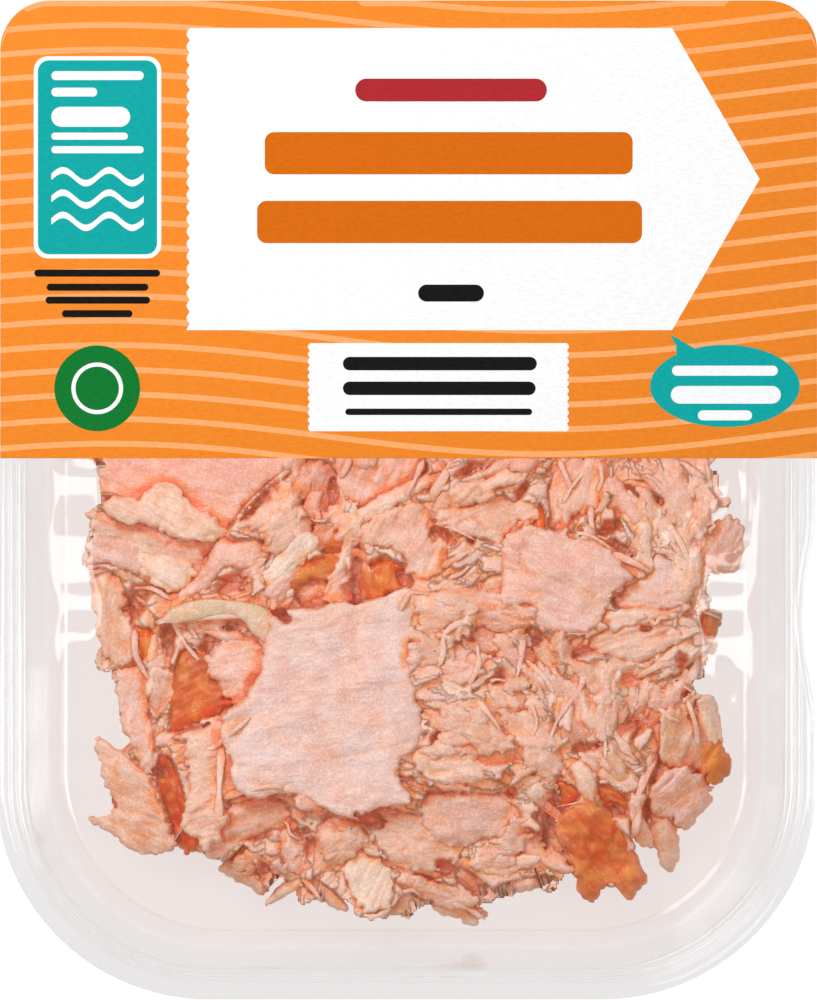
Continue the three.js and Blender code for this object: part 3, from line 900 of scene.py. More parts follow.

# %% [markdown]
# ## The pieces that show
# Each entry is one piece of the real heap, read from the picture: its shade, the height of its top,
# the direction of its fibres and the corners of its outline, x and y in turn, in millimetres. Tearing frays
# the outline later, so the corners only say where the piece lies and how it is shaped.

# %% Outlines of the pieces that show
PIECES = {
    "bed": ("rosy", 14.0, -20, [-53,9.5, -19.5,9.5, -20,7, -21.5,4.5, -25,1.5, -27.5,-0.5, -30,-5, -33,-5.5,
      -43.5,-5.5, -51,-1, -52.5,3]),
    "grey_bed": ("grey", 13.5, -12, [-54,-2, -51,-2, -47.5,-4, -43.5,-4.5, -39.5,-6.5, -35.5,-7, -32,-6.5,
      -33,-9, -35,-11.5, -37,-15, -39.5,-16.5, -42.5,-15, -46,-13, -50.5,-11, -54.5,-11, -54.5,-7.5,
      -53.5,-4.5]),
    "cream_patch": ("cream", 14.4, -25, [-48,-9.5, -45,-9, -41,-9.5, -36.5,-10, -35.5,-11.5, -37.5,-15,
      -39.5,-16, -42.5,-15, -45,-13.5, -46.5,-11]),
    "tongue": ("pale", 16.2, -28, [-51.5,-0.5, -49.5,0.5, -45.5,0, -41.5,3, -39.5,2.5, -36.5,-0.5, -33,-3,
      -30,-5.5, -31.5,-6.5, -34,-7, -36.5,-6.5, -39.5,-6.5, -43.5,-4.5, -47.5,-4, -50.5,-3]),
    "small_flap": ("peach", 17.0, 40, [-30,-4, -27.5,-1.5, -24,0, -21,0.5, -19,2.5, -18.5,-3, -19,-4.5,
      -21.5,-4.5, -22,-7, -23.5,-7, -24.5,-5, -27.5,-4.5]),
    "pink_tongue": ("rosy", 15.6, 25, [-32,-7, -27.5,-6.5, -22.5,-7, -23,-9, -24,-11, -27.5,-12.5, -30.5,-11,
      -33,-13.5, -35.5,-16, -38.5,-17, -37.5,-15, -34.5,-11.5, -33,-9]),
    "ragged_flap": ("cream", 16.8, 50, [-25,-13, -22,-10, -21,-5.5, -18,-4, -14,-7, -16,-9, -18.5,-11,
      -20.5,-13.5, -21.5,-15, -23.5,-15.5, -24.5,-14.5]),
    "smoked_top": ("smoked", 14.5, 0, [-18,-2.5, -15.5,-4, -10,-5, -10,-8.5, -14,-9.5, -16,-7.5, -18,-5]),
    "smoked_crust": ("amber", 15.4, 20, [-21.5,-15, -19.5,-12, -15.5,-9.5, -11,-9, -9.5,-13, -13,-13.5,
      -17,-13.5, -20,-15.5]),
    "mauve_lump": ("mauve", 13.5, 10, [-19.5,-15, -17,-13.5, -11.5,-14, -10,-17.5, -13.5,-18, -18,-18.5]),
    "amber_column": ("amber", 14.0, 85, [-7,-10.5, -3.5,-9.5, 0.5,-12.5, 1.5,-14.5, -1.5,-16.5, -7,-17.5,
      -7.5,-15]),
    "top_flake": ("rosy", 15.2, 65, [-12.5,4.5, -11,9.5, 2.5,9.5, 4,5, 2.5,4, -5.5,0.5, -8,-2, -11,1]),
    "pale_strip": ("pale", 16.6, 28, [-10.5,-4, -8,-1.5, -4.5,1, 0.5,3, 4,4.5, 7,5, 7.5,3, 2.5,1.5, -2,-1,
      -6,-3, -9,-5]),
    "side_flake": ("peach", 16.2, 60, [-10,-5, -6,-3, -1.5,-1, 3.5,-1, 4.5,-4.5, 7,-7.5, 7,-12.5, 2,-14,
      0.5,-12, -1.5,-8, -5,-8.5]),
    "left_top": ("grey", 13.0, 80, [-19.5,7, -13,7, -12.5,4.5, -12,2.5, -13,-3, -16,-3.5, -18,-0.5,
      -19.5,3]),
    "rosy_flap": ("rosy", 15.5, 10, [-34.5,-26.5, -32,-24.5, -27.5,-23.5, -24,-25.5, -23.5,-28.5, -26,-32,
      -26.5,-35, -28,-36, -30,-33.5, -33,-30.5]),
    "fat_under": ("rosy", 14.6, -10, [-38,-20, -33,-20, -30,-21.5, -26.5,-24, -30,-24.5, -33,-23.5,
      -36.5,-22]),
    "edge_flake": ("tan", 11.5, 85, [-54,-11.5, -50,-12, -47,-18, -47.5,-20.5, -45,-23.5, -45.5,-27,
      -51,-28.5, -53,-23.5, -54,-16.5]),
    "edge_amber": ("amber", 11.0, 80, [-52,-23.5, -47.5,-21.5, -43,-22, -42.5,-27, -46,-27.5, -50.5,-28.5]),
    "great_slab": ("mauve", 19.0, 8, [-23,-19.5, -20.5,-19, -15.5,-18.5, -12,-17.5, -8.5,-18, -3.5,-16.5,
      0.5,-14.5, 2,-17.5, 0.5,-22, 0.5,-26.5, 0.5,-30.5, 2,-35, 3,-38.5, 1.5,-42.5, -1.5,-44.5, -1.5,-47.5,
      1.5,-51.5, -3.5,-52, -6,-53, -8,-54.5, -11.5,-54, -14,-52.5, -16.5,-51, -18.5,-50, -21.5,-50,
      -26.5,-51, -29.5,-48.5, -30,-44.5, -31.5,-40, -31.5,-36.5, -28,-34.5, -26.5,-32.5, -24.5,-28.5,
      -24,-24.5]),
    "skirt": ("peach", 15.6, 12, [-37.5,-39, -31.5,-36.5, -27.5,-35.5, -25,-38.5, -23.5,-44, -24,-47.5,
      -22,-49, -27.5,-50.5, -31.5,-51.5, -30,-54.5, -33,-58.5, -34.5,-60.5, -36,-58, -38.5,-54, -37,-48.5,
      -38,-42.5]),
    "left_wing": ("peach", 7.8, -25, [-53,-41.5, -51,-41.5, -49.5,-43, -46.5,-45.5, -44.5,-46.5, -42.5,-51.5,
      -41,-54.5, -39.5,-59.5, -42.5,-60.5, -46,-60.5, -49,-58.5, -53,-56, -55,-54.5, -53,-54.5, -50.5,-54.5,
      -49,-52.5, -51.5,-49.5, -53,-46]),
    "amber_band": ("smoked", 8.6, -70, [-43,-44, -40.5,-43.5, -38.5,-48, -37.5,-53, -35.5,-58.5, -36,-60.5,
      -38.5,-60.5, -40.5,-55.5, -42.5,-50.5]),
    "left_column": ("rosy", 10.5, 80, [-50,-28, -44,-28, -44,-36, -43,-41, -43.5,-46.5, -44.5,-46.5,
      -46,-43.5, -48,-40.5, -49,-38, -50,-34]),
    "mauve_wedge": ("grey", 12.0, 70, [-44.5,-29, -39.5,-28.5, -40,-33, -41.5,-37, -43.5,-36.5, -44.5,-33]),
    "smoked_left": ("smoked", 13.0, 30, [-39.5,-26, -36.5,-25, -34,-28, -31.5,-32.5, -28,-34.5, -31.5,-36.5,
      -34,-38.5, -37.5,-38.5, -41,-39.5, -40.5,-36]),
    "loop_flake": ("peach", 13.5, 20, [-35.5,-58.5, -33,-55.5, -30.5,-52.5, -26.5,-51, -22,-50.5, -19.5,-53,
      -20,-56.5, -24,-56.5, -28,-58.5, -30.5,-61, -34,-62]),
    "grey_lens": ("grey", 9.0, -50, [-30,-61, -27.5,-58.5, -26,-63, -24,-66, -24.5,-68.5, -27.5,-66,
      -32,-64]),
    "pale_tip": ("cream", 9.5, 35, [-24,-69, -21.5,-66, -18,-64.5, -18,-66, -21.5,-68, -24,-69.5]),
    "small_lump": ("rosy", 13.5, 60, [-22,-56.5, -19.5,-56, -18,-58.5, -17.5,-61, -16,-62.5, -18,-64,
      -20.5,-64, -22,-60.5]),
    "arch": ("peach", 14.6, -15, [-15,-54.5, -12,-54, -8,-56, -6,-58.5, -4.5,-61.5, -8,-59, -11.5,-58.5,
      -13,-60.5, -15.5,-59.5]),
    "cream_lump": ("cream", 12.8, 70, [-11,-58.5, -8,-59, -6,-60.5, -2,-65, -2,-69, -5,-71, -8,-70.5,
      -10,-67, -11.5,-62]),
    "lower_strip": ("rosy", 10.5, -35, [-18,-65, -15.5,-65, -13,-66.5, -10.5,-69, -10,-71, -13,-69.5,
      -17,-67]),
    "bottom_flake": ("peach", 13.4, -12, [-6,-55.5, -1.5,-53, 4,-54.5, 8.5,-56.5, 10.5,-58.5, 8.5,-62.5,
      4.5,-63.5, 0,-63, -4,-61]),
    "bottom_strip": ("peach", 10.4, -18, [-2.5,-65, 0.5,-64, 4.5,-65, 10.5,-67, 13.5,-69, 8.5,-70.5, 4,-69,
      0,-67]),
    "broad_flake": ("rosy", 18.6, -20, [17.5,-6, 21,-4.5, 24,-6, 27.5,-6.5, 32.5,-7, 35.5,-9, 38.5,-13,
      36,-14.5, 34,-17, 32.5,-22, 30.5,-23, 25.5,-22.5, 22.5,-21.5, 21,-19.5, 21.5,-17.5, 19,-18, 16,-17.5,
      16.5,-15.5, 16.5,-11.5, 16,-8.5]),
    "left_lobe": ("grey", 17.0, 15, [11,-15, 16,-12, 17,-15.5, 16,-17.5, 19.5,-18.5, 21,-19.5, 17,-19.5,
      13,-19, 12.5,-17.5]),
    "pink_flap": ("peach", 17.8, 18, [4.5,-3.5, 7,-1.5, 9.5,-1.5, 13.5,0.5, 16.5,1, 18.5,-0.5, 21,0, 23,-2,
      22,-3.5, 19,-4, 17.5,-6.5, 15,-8, 12,-6.5, 8.5,-5.5]),
    "pale_tongue": ("pale", 18.4, 25, [7,-1, 8,1.5, 11,3, 15,4.5, 17.5,5, 20,4, 19,2.5, 16,2, 14,0.5, 11,0,
      8.5,-2]),
    "amber_sliver": ("amber", 16.0, -80, [22.5,0, 23.5,-1.5, 24,-4, 23.5,-6, 21,-4.5, 22.5,-3]),
    "clump_left": ("peach", 16.0, 75, [24,2.5, 26,5.5, 29,7.5, 32.5,7.5, 35,5.5, 33.5,1, 32.5,-2, 29,-3,
      26,-5.5, 24,-5, 24.5,-1.5]),
    "pink_top": ("rosy", 15.6, -20, [36,3, 38.5,3.5, 43.5,3, 46.5,-1, 45.5,-3, 43,-0.5, 39,1]),
    "y_column": ("pale", 17.4, 95, [39,-3, 42,-3, 41.5,-7.5, 42,-12, 40,-11.5, 36,-10.5, 35.5,-9, 39,-10.5,
      40,-7.5]),
    "mauve_flake": ("mauve", 16.2, -5, [42,-9, 45,-10, 46.5,-12.5, 48.5,-14.5, 49,-17, 45,-19, 41,-19,
      36,-19, 34.5,-17, 37,-15.5, 42,-12.5]),
    "right_column": ("tan", 15.4, 100, [45,7, 48,5.5, 48.5,0.5, 50,-5, 50.5,-9.5, 51,-15.5, 49,-18, 47.5,-14,
      47.5,-9, 46.5,-4, 45.5,0.5]),
    "far_right": ("rosy", 13.0, 60, [49.5,-8.5, 51.5,-5, 54.5,-3, 57.5,-3.5, 58.5,-7, 57.5,-10.5, 54.5,-12,
      51,-11.5]),
    "long_wedge": ("pale", 17.0, 2, [33.5,-20.5, 35,-19, 40,-18.5, 44.5,-19, 47.5,-19, 46.5,-20.5, 42,-21,
      37.5,-21]),
    "wide_wedge": ("peach", 16.4, 15, [30.5,-24, 32.5,-23, 35.5,-21.5, 42,-21, 47,-22, 47.5,-23.5,
      44.5,-25.5, 41,-27.5, 37.5,-28, 35.5,-26.5, 32.5,-26.5]),
    "amber_right": ("amber", 12.5, 80, [50,-19.5, 52.5,-18.5, 54,-20.5, 53,-23.5, 51.5,-25, 50.5,-22.5]),
    "grey_dome": ("grey", 15.6, -10, [10.5,-23, 13.5,-21, 16,-22, 17.5,-24.5, 16.5,-27, 13.5,-27, 11,-25.5]),
    "amber_bit": ("amber", 16.0, -25, [14.5,-20, 17,-19.5, 21.5,-21, 21,-23.5, 19,-23, 16.5,-21.5]),
    "slab_neighbour": ("peach", 18.4, -5, [2,-15.5, 6,-15.5, 9.5,-17, 12.5,-18, 12.5,-19, 9.5,-20.5, 6,-22.5,
      2.5,-23, 1.5,-19.5]),
    "thin_triangle": ("pale", 16.4, -60, [21,-23.5, 23.5,-24, 25.5,-25.5, 25,-26.5, 26,-29.5, 28.5,-33,
      27,-33.5, 24,-29, 22,-25.5]),
    "thin_blade": ("peach", 16.6, 50, [26,-25.5, 28.5,-23.5, 31,-23, 29.5,-25.5, 27,-28]),
    "mid_column": ("peach", 16.2, 85, [30.5,-28.5, 32.5,-27, 35,-28, 36,-32, 35.5,-34.5, 32.5,-34.5,
      31,-31]),
    "block": ("peach", 18.2, -8, [6,-35.5, 9.5,-34, 13.5,-34, 17.5,-38.5, 15,-40, 10.5,-41, 8.5,-42.5,
      5,-42.5, 5.5,-38.5]),
    "block_under": ("rosy", 17.4, -10, [11,-41, 14.5,-40, 18.5,-39.5, 21,-41, 22,-44.5, 18.5,-45, 13.5,-45.5,
      10.5,-43]),
    "pale_lobe": ("pale", 17.8, -15, [1,-42.5, 4.5,-43.5, 7.5,-44.5, 11.5,-44.5, 13.5,-47, 12.5,-48, 8.5,-48,
      3.5,-48, 1,-45.5]),
    "tall_flake": ("peach", 16.8, -60, [13,-31, 15,-30, 17.5,-30.5, 20,-33, 21,-35.5, 19,-37.5, 17.5,-36,
      15,-34]),
    "grey_clump": ("grey", 14.0, -6, [2.5,-50, 7,-49.5, 11,-50, 16,-50.5, 19.5,-53, 20,-55.5, 16.5,-58,
      13,-58.5, 11,-59.5, 7.5,-59.5, 3,-57]),
    "amber_low": ("amber", 13.6, -8, [4.5,-57, 6,-55.5, 9.5,-55, 15,-55.5, 12.5,-58, 11,-59.5, 8,-59]),
    "pink_low": ("peach", 12.5, -20, [2,-58.5, 7,-59.5, 9.5,-61, 8.5,-63, 6,-65, 4,-65, 1,-63]),
    "wedge": ("smoked", 12.5, -52, [26,-54.5, 28,-52.5, 31,-51.8, 34,-53, 37.5,-57.5, 39.2,-61.5, 41.5,-65.3,
      39.4,-66, 38.4,-69.2, 36.4,-66.4, 34.6,-65.2, 33.2,-66.6, 31.8,-68.8, 30,-68, 29.3,-65, 28.3,-62,
      26,-58.5]),
    "wedge_top": ("smoked", 14.0, -60, [25.5,-48.5, 27.5,-48, 30,-50, 29,-52, 26,-53.5]),
    "orange_right": ("smoked", 13.0, -30, [32.5,-48.5, 35.5,-49.5, 37.5,-50.5, 38.5,-54.5, 36,-53.5,
      33.5,-52]),
    "curl": ("pale", 15.6, -60, [27.5,-45.5, 30,-44.5, 32,-46.5, 32.5,-49.5, 32,-52, 29.5,-50.5, 29,-48]),
    "right_blade": ("peach", 13.0, 95, [38.5,-50.5, 41.5,-50, 40,-53.5, 41,-55.5, 42.5,-59.5, 40,-59,
      38,-55.5]),
    "right_shoulder": ("tan", 12.0, 70, [44,-36, 49,-36.5, 53,-40, 54.5,-44, 52,-47, 47,-46.5, 43,-43]),
    "right_skirt": ("rosy", 10.5, 40, [41.5,-49.5, 45.5,-46, 49,-45.5, 51.5,-48.5, 53,-51, 50.5,-54,
      49,-56.5, 46.5,-56, 44.5,-54, 42,-53.5]),
    "drip": ("pale", 7.5, -70, [42.5,-55, 45,-54, 47.5,-58, 47,-61, 45,-64, 43.5,-62, 43,-59.5, 41,-58]),
    "amber_edge": ("amber", 10.5, 60, [50,-42.5, 52,-40.5, 54.5,-42, 56,-45, 54.5,-48, 52,-49, 50.5,-46.5]),
    "mid_flake": ("rosy", 16.2, 100, [28.5,-32, 31,-31.5, 33.5,-33, 33,-37, 32.5,-39, 30.5,-41, 28.5,-38.5]),
    "right_net": ("tan", 14.6, 80, [40,-32, 44,-31.5, 48,-33.5, 49,-37, 46.5,-38.5, 43.5,-37, 40.5,-35]),
    "right_edge": ("pale", 12.5, 95, [50,-33, 52.5,-34.5, 54,-38, 54,-42.5, 51.5,-42, 50,-38.5]),
    "mauve_fold": ("mauve", 15.0, -25, [30,-42.5, 33.5,-43, 38.5,-46, 40,-48.5, 38.5,-50, 35.5,-48.5,
      32.5,-47.5, 29,-45]),
    "low_strip": ("peach", 9.6, 8, [14.5,-66.5, 19,-65, 25.5,-64, 24,-66, 19,-67, 15,-67.5]),
    "low_lens": ("grey", 9.0, -45, [8,-62.5, 11,-63.5, 13.5,-66, 14,-68, 11,-67.5, 8.5,-65]),
    "low_long": ("cream", 7.5, -28, [1,-63.5, 4,-64.5, 7.5,-67, 11,-69.5, 13.5,-70.5, 12,-73, 7.5,-71.5,
      4,-69.5, 0.5,-67]),
    "low_ragged": ("pale", 12.5, 5, [10,-62, 13.5,-61, 16.5,-62, 19.5,-60.5, 23.5,-61.5, 18.5,-63.5,
      17.5,-65, 15,-64, 11,-63]),
    "low_grey": ("tan", 12.0, 10, [20,-55.5, 22.5,-57, 26,-60, 29,-63, 27,-64.5, 23.5,-63, 22.5,-61,
      19.5,-60.5, 17.5,-58.5]),
}
for name, (shade, top, turn, row) in PIECES.items():
    PIECES[name] = (shade, top, turn, np.reshape(row, (-1, 2)))
LOOKS = {
    "great_slab": dict(thickness=5.0, fray=0.25, relief=0.08, layers=0.3, swell=0.5),
    "broad_flake": dict(thickness=4.5, fray=0.4, relief=0.13, layers=0.5),
    "bed": dict(thickness=5.0, fray=0.4, relief=0.10, layers=0.3),
    "grey_bed": dict(thickness=6.0, fray=0.5, relief=0.15, layers=0.4),
    "wedge": dict(thickness=5.0, fray=0.35, relief=0.26, layers=0.8),
}
LEANS = {"great_slab": 0.25, "broad_flake": 0.4, "bed": 0.5, "grey_bed": 0.6, "wedge": 0.6}
print("pieces that show:", len(PIECES))

# %% [markdown]
# ## Heights and directions between the pieces
# Small pieces have to lie as high as their neighbours and point roughly as they do. Both are blended from
# the pieces near a point, once, on a coarse grid. A field is such a grid, read between its points.
# Directions are blended as doubled angles, because a fibre that points left also points right.

# %% A field and a blend of the pieces


def grid(left, right, low, high, cell):
    return np.meshgrid(np.arange(left, right, cell), np.arange(low, high, cell), indexing="ij")


class Field:
    """Values on a regular grid, read between its points."""

    def __init__(self, left, low, cell, values):
        self.left, self.low, self.cell, self.values = left, low, cell, values

    def at(self, x, y):
        wide, long = self.values.shape
        across = np.clip((np.asarray(x, float) - self.left) / self.cell, 0, wide - 1.001)
        along = np.clip((np.asarray(y, float) - self.low) / self.cell, 0, long - 1.001)
        i, j = across.astype(int), along.astype(int)
        s, t = across - i, along - j
        low = self.values[i, j] * (1 - s) + self.values[i + 1, j] * s
        high = self.values[i, j + 1] * (1 - s) + self.values[i + 1, j + 1] * s
        return low * (1 - t) + high * t


def outline_area(corners):
    x, y = corners.T
    return 0.5 * abs(float(np.dot(x, np.roll(y, -1)) - np.dot(y, np.roll(x, -1))))


# An anchor is a place, how much it counts, the direction of its fibres and its height.
anchors = []
for _, top, turn, corners in PIECES.values():
    middle = corners.mean(0)
    area = outline_area(corners)
    anchors.append((*middle, area, turn, top))
    for x, y in (corners[::2] + middle) / 2:
        anchors.append((x, y, area / len(corners), turn, top))
anchors = np.array(anchors)
print("anchors:", len(anchors))

# %% Heights and directions from the pieces
FIELD_LEFT, FIELD_LOW, FIELD_RIGHT, FIELD_HIGH, FIELD_CELL = -63.0, -78.0, 64.5, 72.0, 1.5
TOP_REACH, TURN_REACH = 3.5, 6.0
FLAKES_ABOVE_DOME = 2.6
HEAP_FOOT = 2.5
SLOPE_STEP = 3.0
field_x, field_y = grid(FIELD_LEFT, FIELD_RIGHT, FIELD_LOW, FIELD_HIGH, FIELD_CELL)
far = (field_x[..., None] - anchors[:, 0]) ** 2 + (field_y[..., None] - anchors[:, 1]) ** 2


def blended(values, reach):
    """The pieces' values blended over the grid, the near and large ones counting most."""
    weight = anchors[:, 2] * np.exp(-far / (2 * reach**2)) + 1e-12
    return (weight * values).sum(-1) / weight.sum(-1)


shown_half = smooth_step(14.0, 4.0, field_y)
field_share = heap_share(field_x, field_y)
hidden_tops = pile_height(field_x, field_y) + FLAKES_ABOVE_DOME
tops = blended(anchors[:, 4], TOP_REACH) * shown_half + hidden_tops * (1 - shown_half)
tops = tops * smooth_step(1.27, 1.05, field_share) + HEAP_FOOT * smooth_step(1.05, 1.27, field_share)
doubled = np.radians(2 * anchors[:, 3])
surface = Field(FIELD_LEFT, FIELD_LOW, FIELD_CELL, tops)
turn_cos = Field(FIELD_LEFT, FIELD_LOW, FIELD_CELL, blended(np.cos(doubled), TURN_REACH))
turn_sin = Field(FIELD_LEFT, FIELD_LOW, FIELD_CELL, blended(np.sin(doubled), TURN_REACH))


def fibre_turn(x, y):
    return math.degrees(math.atan2(float(turn_sin.at(x, y)), float(turn_cos.at(x, y)))) / 2


def surface_slope(x, y):
    """How steeply the heap rises towards the right and towards the card."""
    across = surface.at(x + SLOPE_STEP, y) - surface.at(x - SLOPE_STEP, y)
    along = surface.at(x, y + SLOPE_STEP) - surface.at(x, y - SLOPE_STEP)
    return np.array([float(across), float(along)]) / (2 * SLOPE_STEP)


print("surface in the middle, mm:", round(float(surface.at(-12.0, -35.0)), 1))

# %% [markdown]
# ## The gaps
# Dark crevices give the heap its depth. Each is a middle, a length, a width and a turn. The mass below is
# dug out there, and the drawn pieces are cut there.

# %% Crevices between the pieces
CREVICES = [
    (-46.5, -16.5, 7, 4, 60), (-30, -14.5, 8, 3, 20), (-40.5, -24.5, 5.5, 3, 90),
    (-8.5, -14, 10, 2.2, 88), (-12.5, 2, 6.5, 1.6, 85), (-25, -0.5, 9, 1.4, 45),
    (-30, -21.5, 3, 1.6, -10), (-21, -20, 4.5, 2.4, -20), (-42.5, -46.5, 3.5, 1.8, -10),
    (-36.5, -39, 9, 1.1, 12), (-16.5, -59, 4.5, 2, 80), (-25.5, -58, 6, 1.3, 15),
    (-24.5, -63.5, 4.5, 3.6, -60), (-6, -55, 6, 2.6, -25), (-0.5, -13, 4, 2, -50), (-34, -25, 4, 2.2, 70),
    (6, -5.5, 5, 2.6, -30), (11, -7, 2.2, 1.2, -60), (19.5, 1.5, 4.2, 2, 60), (11, 5.5, 5, 2, 20),
    (39, 1.5, 4.5, 1.3, -30), (43, 0, 3, 1.4, -45), (34, -5, 4, 2.6, 20), (36.5, -8, 5.5, 1.4, -30),
    (22, -24, 4.5, 2.4, -50), (21, -26.5, 4.5, 2.2, -65), (29.5, -26, 3.6, 1.8, 15),
    (41, -22, 3, 1.2, 10), (47, -27.5, 3, 2, 80), (39, -38.5, 4.6, 3, 40), (31, -42, 5.5, 1.8, 10),
    (43, -45.5, 5.5, 1.7, 60), (18, -50, 3, 2.2, 20), (25, -53.5, 13, 2.2, 78), (36, -53, 3.4, 1.8, -30),
    (4.5, -40.5, 2.6, 1.8, 70), (6, -46.5, 3.5, 1.1, 10), (7, -63, 4.5, 2.6, -20), (41, -53, 3, 1.2, 85),
    (16, -30.5, 3, 1.6, 70), (38.5, -30.5, 4, 1.6, 10), (48, -33, 2.6, 1.4, 60),
]


def turned(x, y, degrees):
    c, s = math.cos(math.radians(degrees)), math.sin(math.radians(degrees))
    return c * x - s * y, s * x + c * y


def beside_crevices(x, y, ragged):
    """Distance to the nearest crevice, negative inside one."""
    nearest = np.full(np.shape(x), 1e9)
    middle_x, middle_y, reach = float(np.mean(x)), float(np.mean(y)), float(np.ptp(x) + np.ptp(y)) / 2 + 9
    for cx, cy, length, width, turn in CREVICES:
        if abs(cx - middle_x) > reach or abs(cy - middle_y) > reach:
            continue
        u, v = turned(x - cx, y - cy, -turn)
        share = np.hypot(2 * u / length, 2 * v / width) + 0.5 * ragged
        nearest = np.minimum(nearest, (share - 1) * width / 2)
    return nearest


print("crevices:", len(CREVICES))

# %% [markdown]
# ## The mass of torn fish
# Below and between the drawn pieces lies a mass of smaller, matted flakes. Seen from above it is one
# surface, so it is one sheet of heights over a fine grid. Flakes of four kinds, from broad ones to slivers,
# are laid on it one by one. Each cell keeps the highest, with its colour and its fibre direction. Two tiles
# of noise, made once, give every flake its torn outline and its grain.

# %% Tiles of noise for torn edges and grain
TILE_SIDE, TILE_CELL = 60, 0.2
tile_u, tile_v = grid(0, TILE_SIDE, 0, TILE_SIDE, TILE_CELL)
bundles = noise(tile_u / 7.0, tile_v / 1.1, 0.0, 63)
TORN = 1.1 * bundles + 0.7 * noise(tile_u / 1.4, tile_v / 0.8, 0.0, 62)
GRAIN = 0.5 * noise(tile_u / 2.2, tile_v / 0.6, 0.0, 64) + 0.8 * noise(tile_u / 2.5, tile_v / 2.5, 0.0, 65)
GRAIN = GRAIN - 1.5 * np.exp(-((bundles / 0.16) ** 2))
LOWEST = SKIN + 0.35
print("noise tiles:", TORN.shape)


def blurred(values, cells):
    """The values smoothed by a bell curve that many cells wide."""
    edge = 3 * math.ceil(cells)
    padded = np.pad(values, edge, mode="edge")
    wide = np.fft.fftfreq(padded.shape[0])[:, None]
    long = np.fft.rfftfreq(padded.shape[1])[None, :]
    bell = np.exp(-2 * (math.pi * cells) ** 2 * (wide**2 + long**2))
    smooth = np.fft.irfft2(np.fft.rfft2(padded) * bell, s=padded.shape)
    return smooth[edge:-edge, edge:-edge]


# %% The grid of heights
MASS_BELOW_TOPS = 4.8
MASS_FLOOR = LOWEST + 0.6
TORN_ROUNDING = 0.7
TORN_SHARE = 0.22
FLAKE_SQUARENESS = 2.6
GRAIN_RELIEF = 0.26
DIG_DEPTH = 3.3


class Mass:
    """A height, a colour and a fibre place for every cell of a grid, raised flake by flake."""

    def __init__(self, left, low, right, high, cell):
        self.left, self.low, self.cell = left, low, cell
        self.x, self.y = grid(left, right, low, high, cell)
        self.surface = surface.at(self.x, self.y)
        lumps = 0.9 * rough(self.x / 3.0, self.y / 3.0, 0.0, 301)
        self.height = np.maximum(self.surface - MASS_BELOW_TOPS + lumps, MASS_FLOOR)
        self.ceiling = np.full_like(self.height, HEAP_CEILING)
        self.piece_top = np.zeros_like(self.height)
        # Cells that no flake covers keep the painted shade of the gaps.
        self.colour = np.tile(SHADES["deep"], (*self.height.shape, 1))
        self.fibres = np.stack([self.x, self.y, np.zeros_like(self.x)], -1)

    def window(self, x, y, reach):
        i = int((x - reach - self.left) / self.cell), int((x + reach - self.left) / self.cell) + 2
        j = int((y - reach - self.low) / self.cell), int((y + reach - self.low) / self.cell) + 2
        return slice(max(0, i[0]), max(0, i[1])), slice(max(0, j[0]), max(0, j[1]))

    def tile_at(self, u, v, pick):
        i = np.clip((u + pick[0]) / TILE_CELL, 0, len(TORN) - 1).astype(int)
        j = np.clip((v + pick[1]) / TILE_CELL, 0, len(TORN) - 1).astype(int)
        return TORN[i, j], GRAIN[i, j]

    def lay(self, x, y, length, width, turn, top, slope, shade, pick):
        here = self.window(x, y, math.hypot(length, width) / 2 + 0.8)
        u, v = turned(self.x[here] - x, self.y[here] - y, -turn)
        torn, grain = self.tile_at(u, v, pick)
        share = np.abs(2 * u / length) ** FLAKE_SQUARENESS + np.abs(2 * v / width) ** FLAKE_SQUARENESS
        share = share ** (1 / FLAKE_SQUARENESS) + TORN_SHARE * torn
        inward = (1 - share) * width / 2
        rounding = min(TORN_ROUNDING, 0.35 * width)
        rim = 1 - np.clip(inward / rounding, 0, 1)
        z = top + slope[0] * u + slope[1] * v + GRAIN_RELIEF * grain - rounding * (1 - np.sqrt(1 - rim**2))
        z = np.minimum(z, self.ceiling[here])
        higher = (inward > 0) & (z > self.height[here])
        self.height[here] = np.where(higher, z, self.height[here])
        pale = (0.45 * np.exp(-np.maximum(inward, 0) / 0.5))[..., None]
        tint = shade * (1 - pale) + SHADES["cream"] * pale
        self.colour[here] = np.where(higher[..., None], tint, self.colour[here])
        place = np.stack([u, v, np.full_like(u, pick[0] * 7 + pick[1])], -1)
        self.fibres[here] = np.where(higher[..., None], place, self.fibres[here])

    def dig(self, x, y, length, width, turn, pick):
        here = self.window(x, y, math.hypot(length, width) / 2 + 1.5)
        u, v = turned(self.x[here] - x, self.y[here] - y, -turn)
        share = np.hypot(2 * u / length, 2 * v / width) + 0.5 * self.tile_at(u, v, pick)[0]
        bottom = np.maximum(self.surface[here] - DIG_DEPTH, MASS_FLOOR)
        self.height[here] -= np.maximum(self.height[here] - bottom, 0) * smooth_step(1.35, 0.5, share)


# %% [markdown]
# A drawn piece lies over the mass, so it lowers the ceiling of the cells that it covers. Its own height
# there is a tilted plane, because it leans as the heap around it does.

# %% How a drawn piece lies
CORNER_CUT = 0.24
STEEPEST = 0.45


def inside_distance(x, y, outline):
    """How far inside a closed outline each point lies, negative outside."""
    nearest = np.full(np.shape(x), np.inf)
    inside = np.zeros(np.shape(x), bool)
    for (ax, ay), (bx, by) in zip(outline, np.roll(outline, -1, 0)):
        ex, ey = bx - ax, by - ay
        run = np.clip(((x - ax) * ex + (y - ay) * ey) / (ex * ex + ey * ey + 1e-9), 0, 1)
        nearest = np.minimum(nearest, np.hypot(x - ax - run * ex, y - ay - run * ey))
        crossing = (ay > y) != (by > y)
        inside ^= crossing & (x < ax + (y - ay) * ex / (ey + (ey == 0)))
    return np.where(inside, nearest, -nearest)


def cut_corners(corners):
    """The outline with each corner cut once, so that no corner is sharp."""
    follow = np.roll(corners, -1, 0)
    cut = CORNER_CUT * (follow - corners)
    return np.stack([corners + cut, follow - cut], 1).reshape(-1, 2)


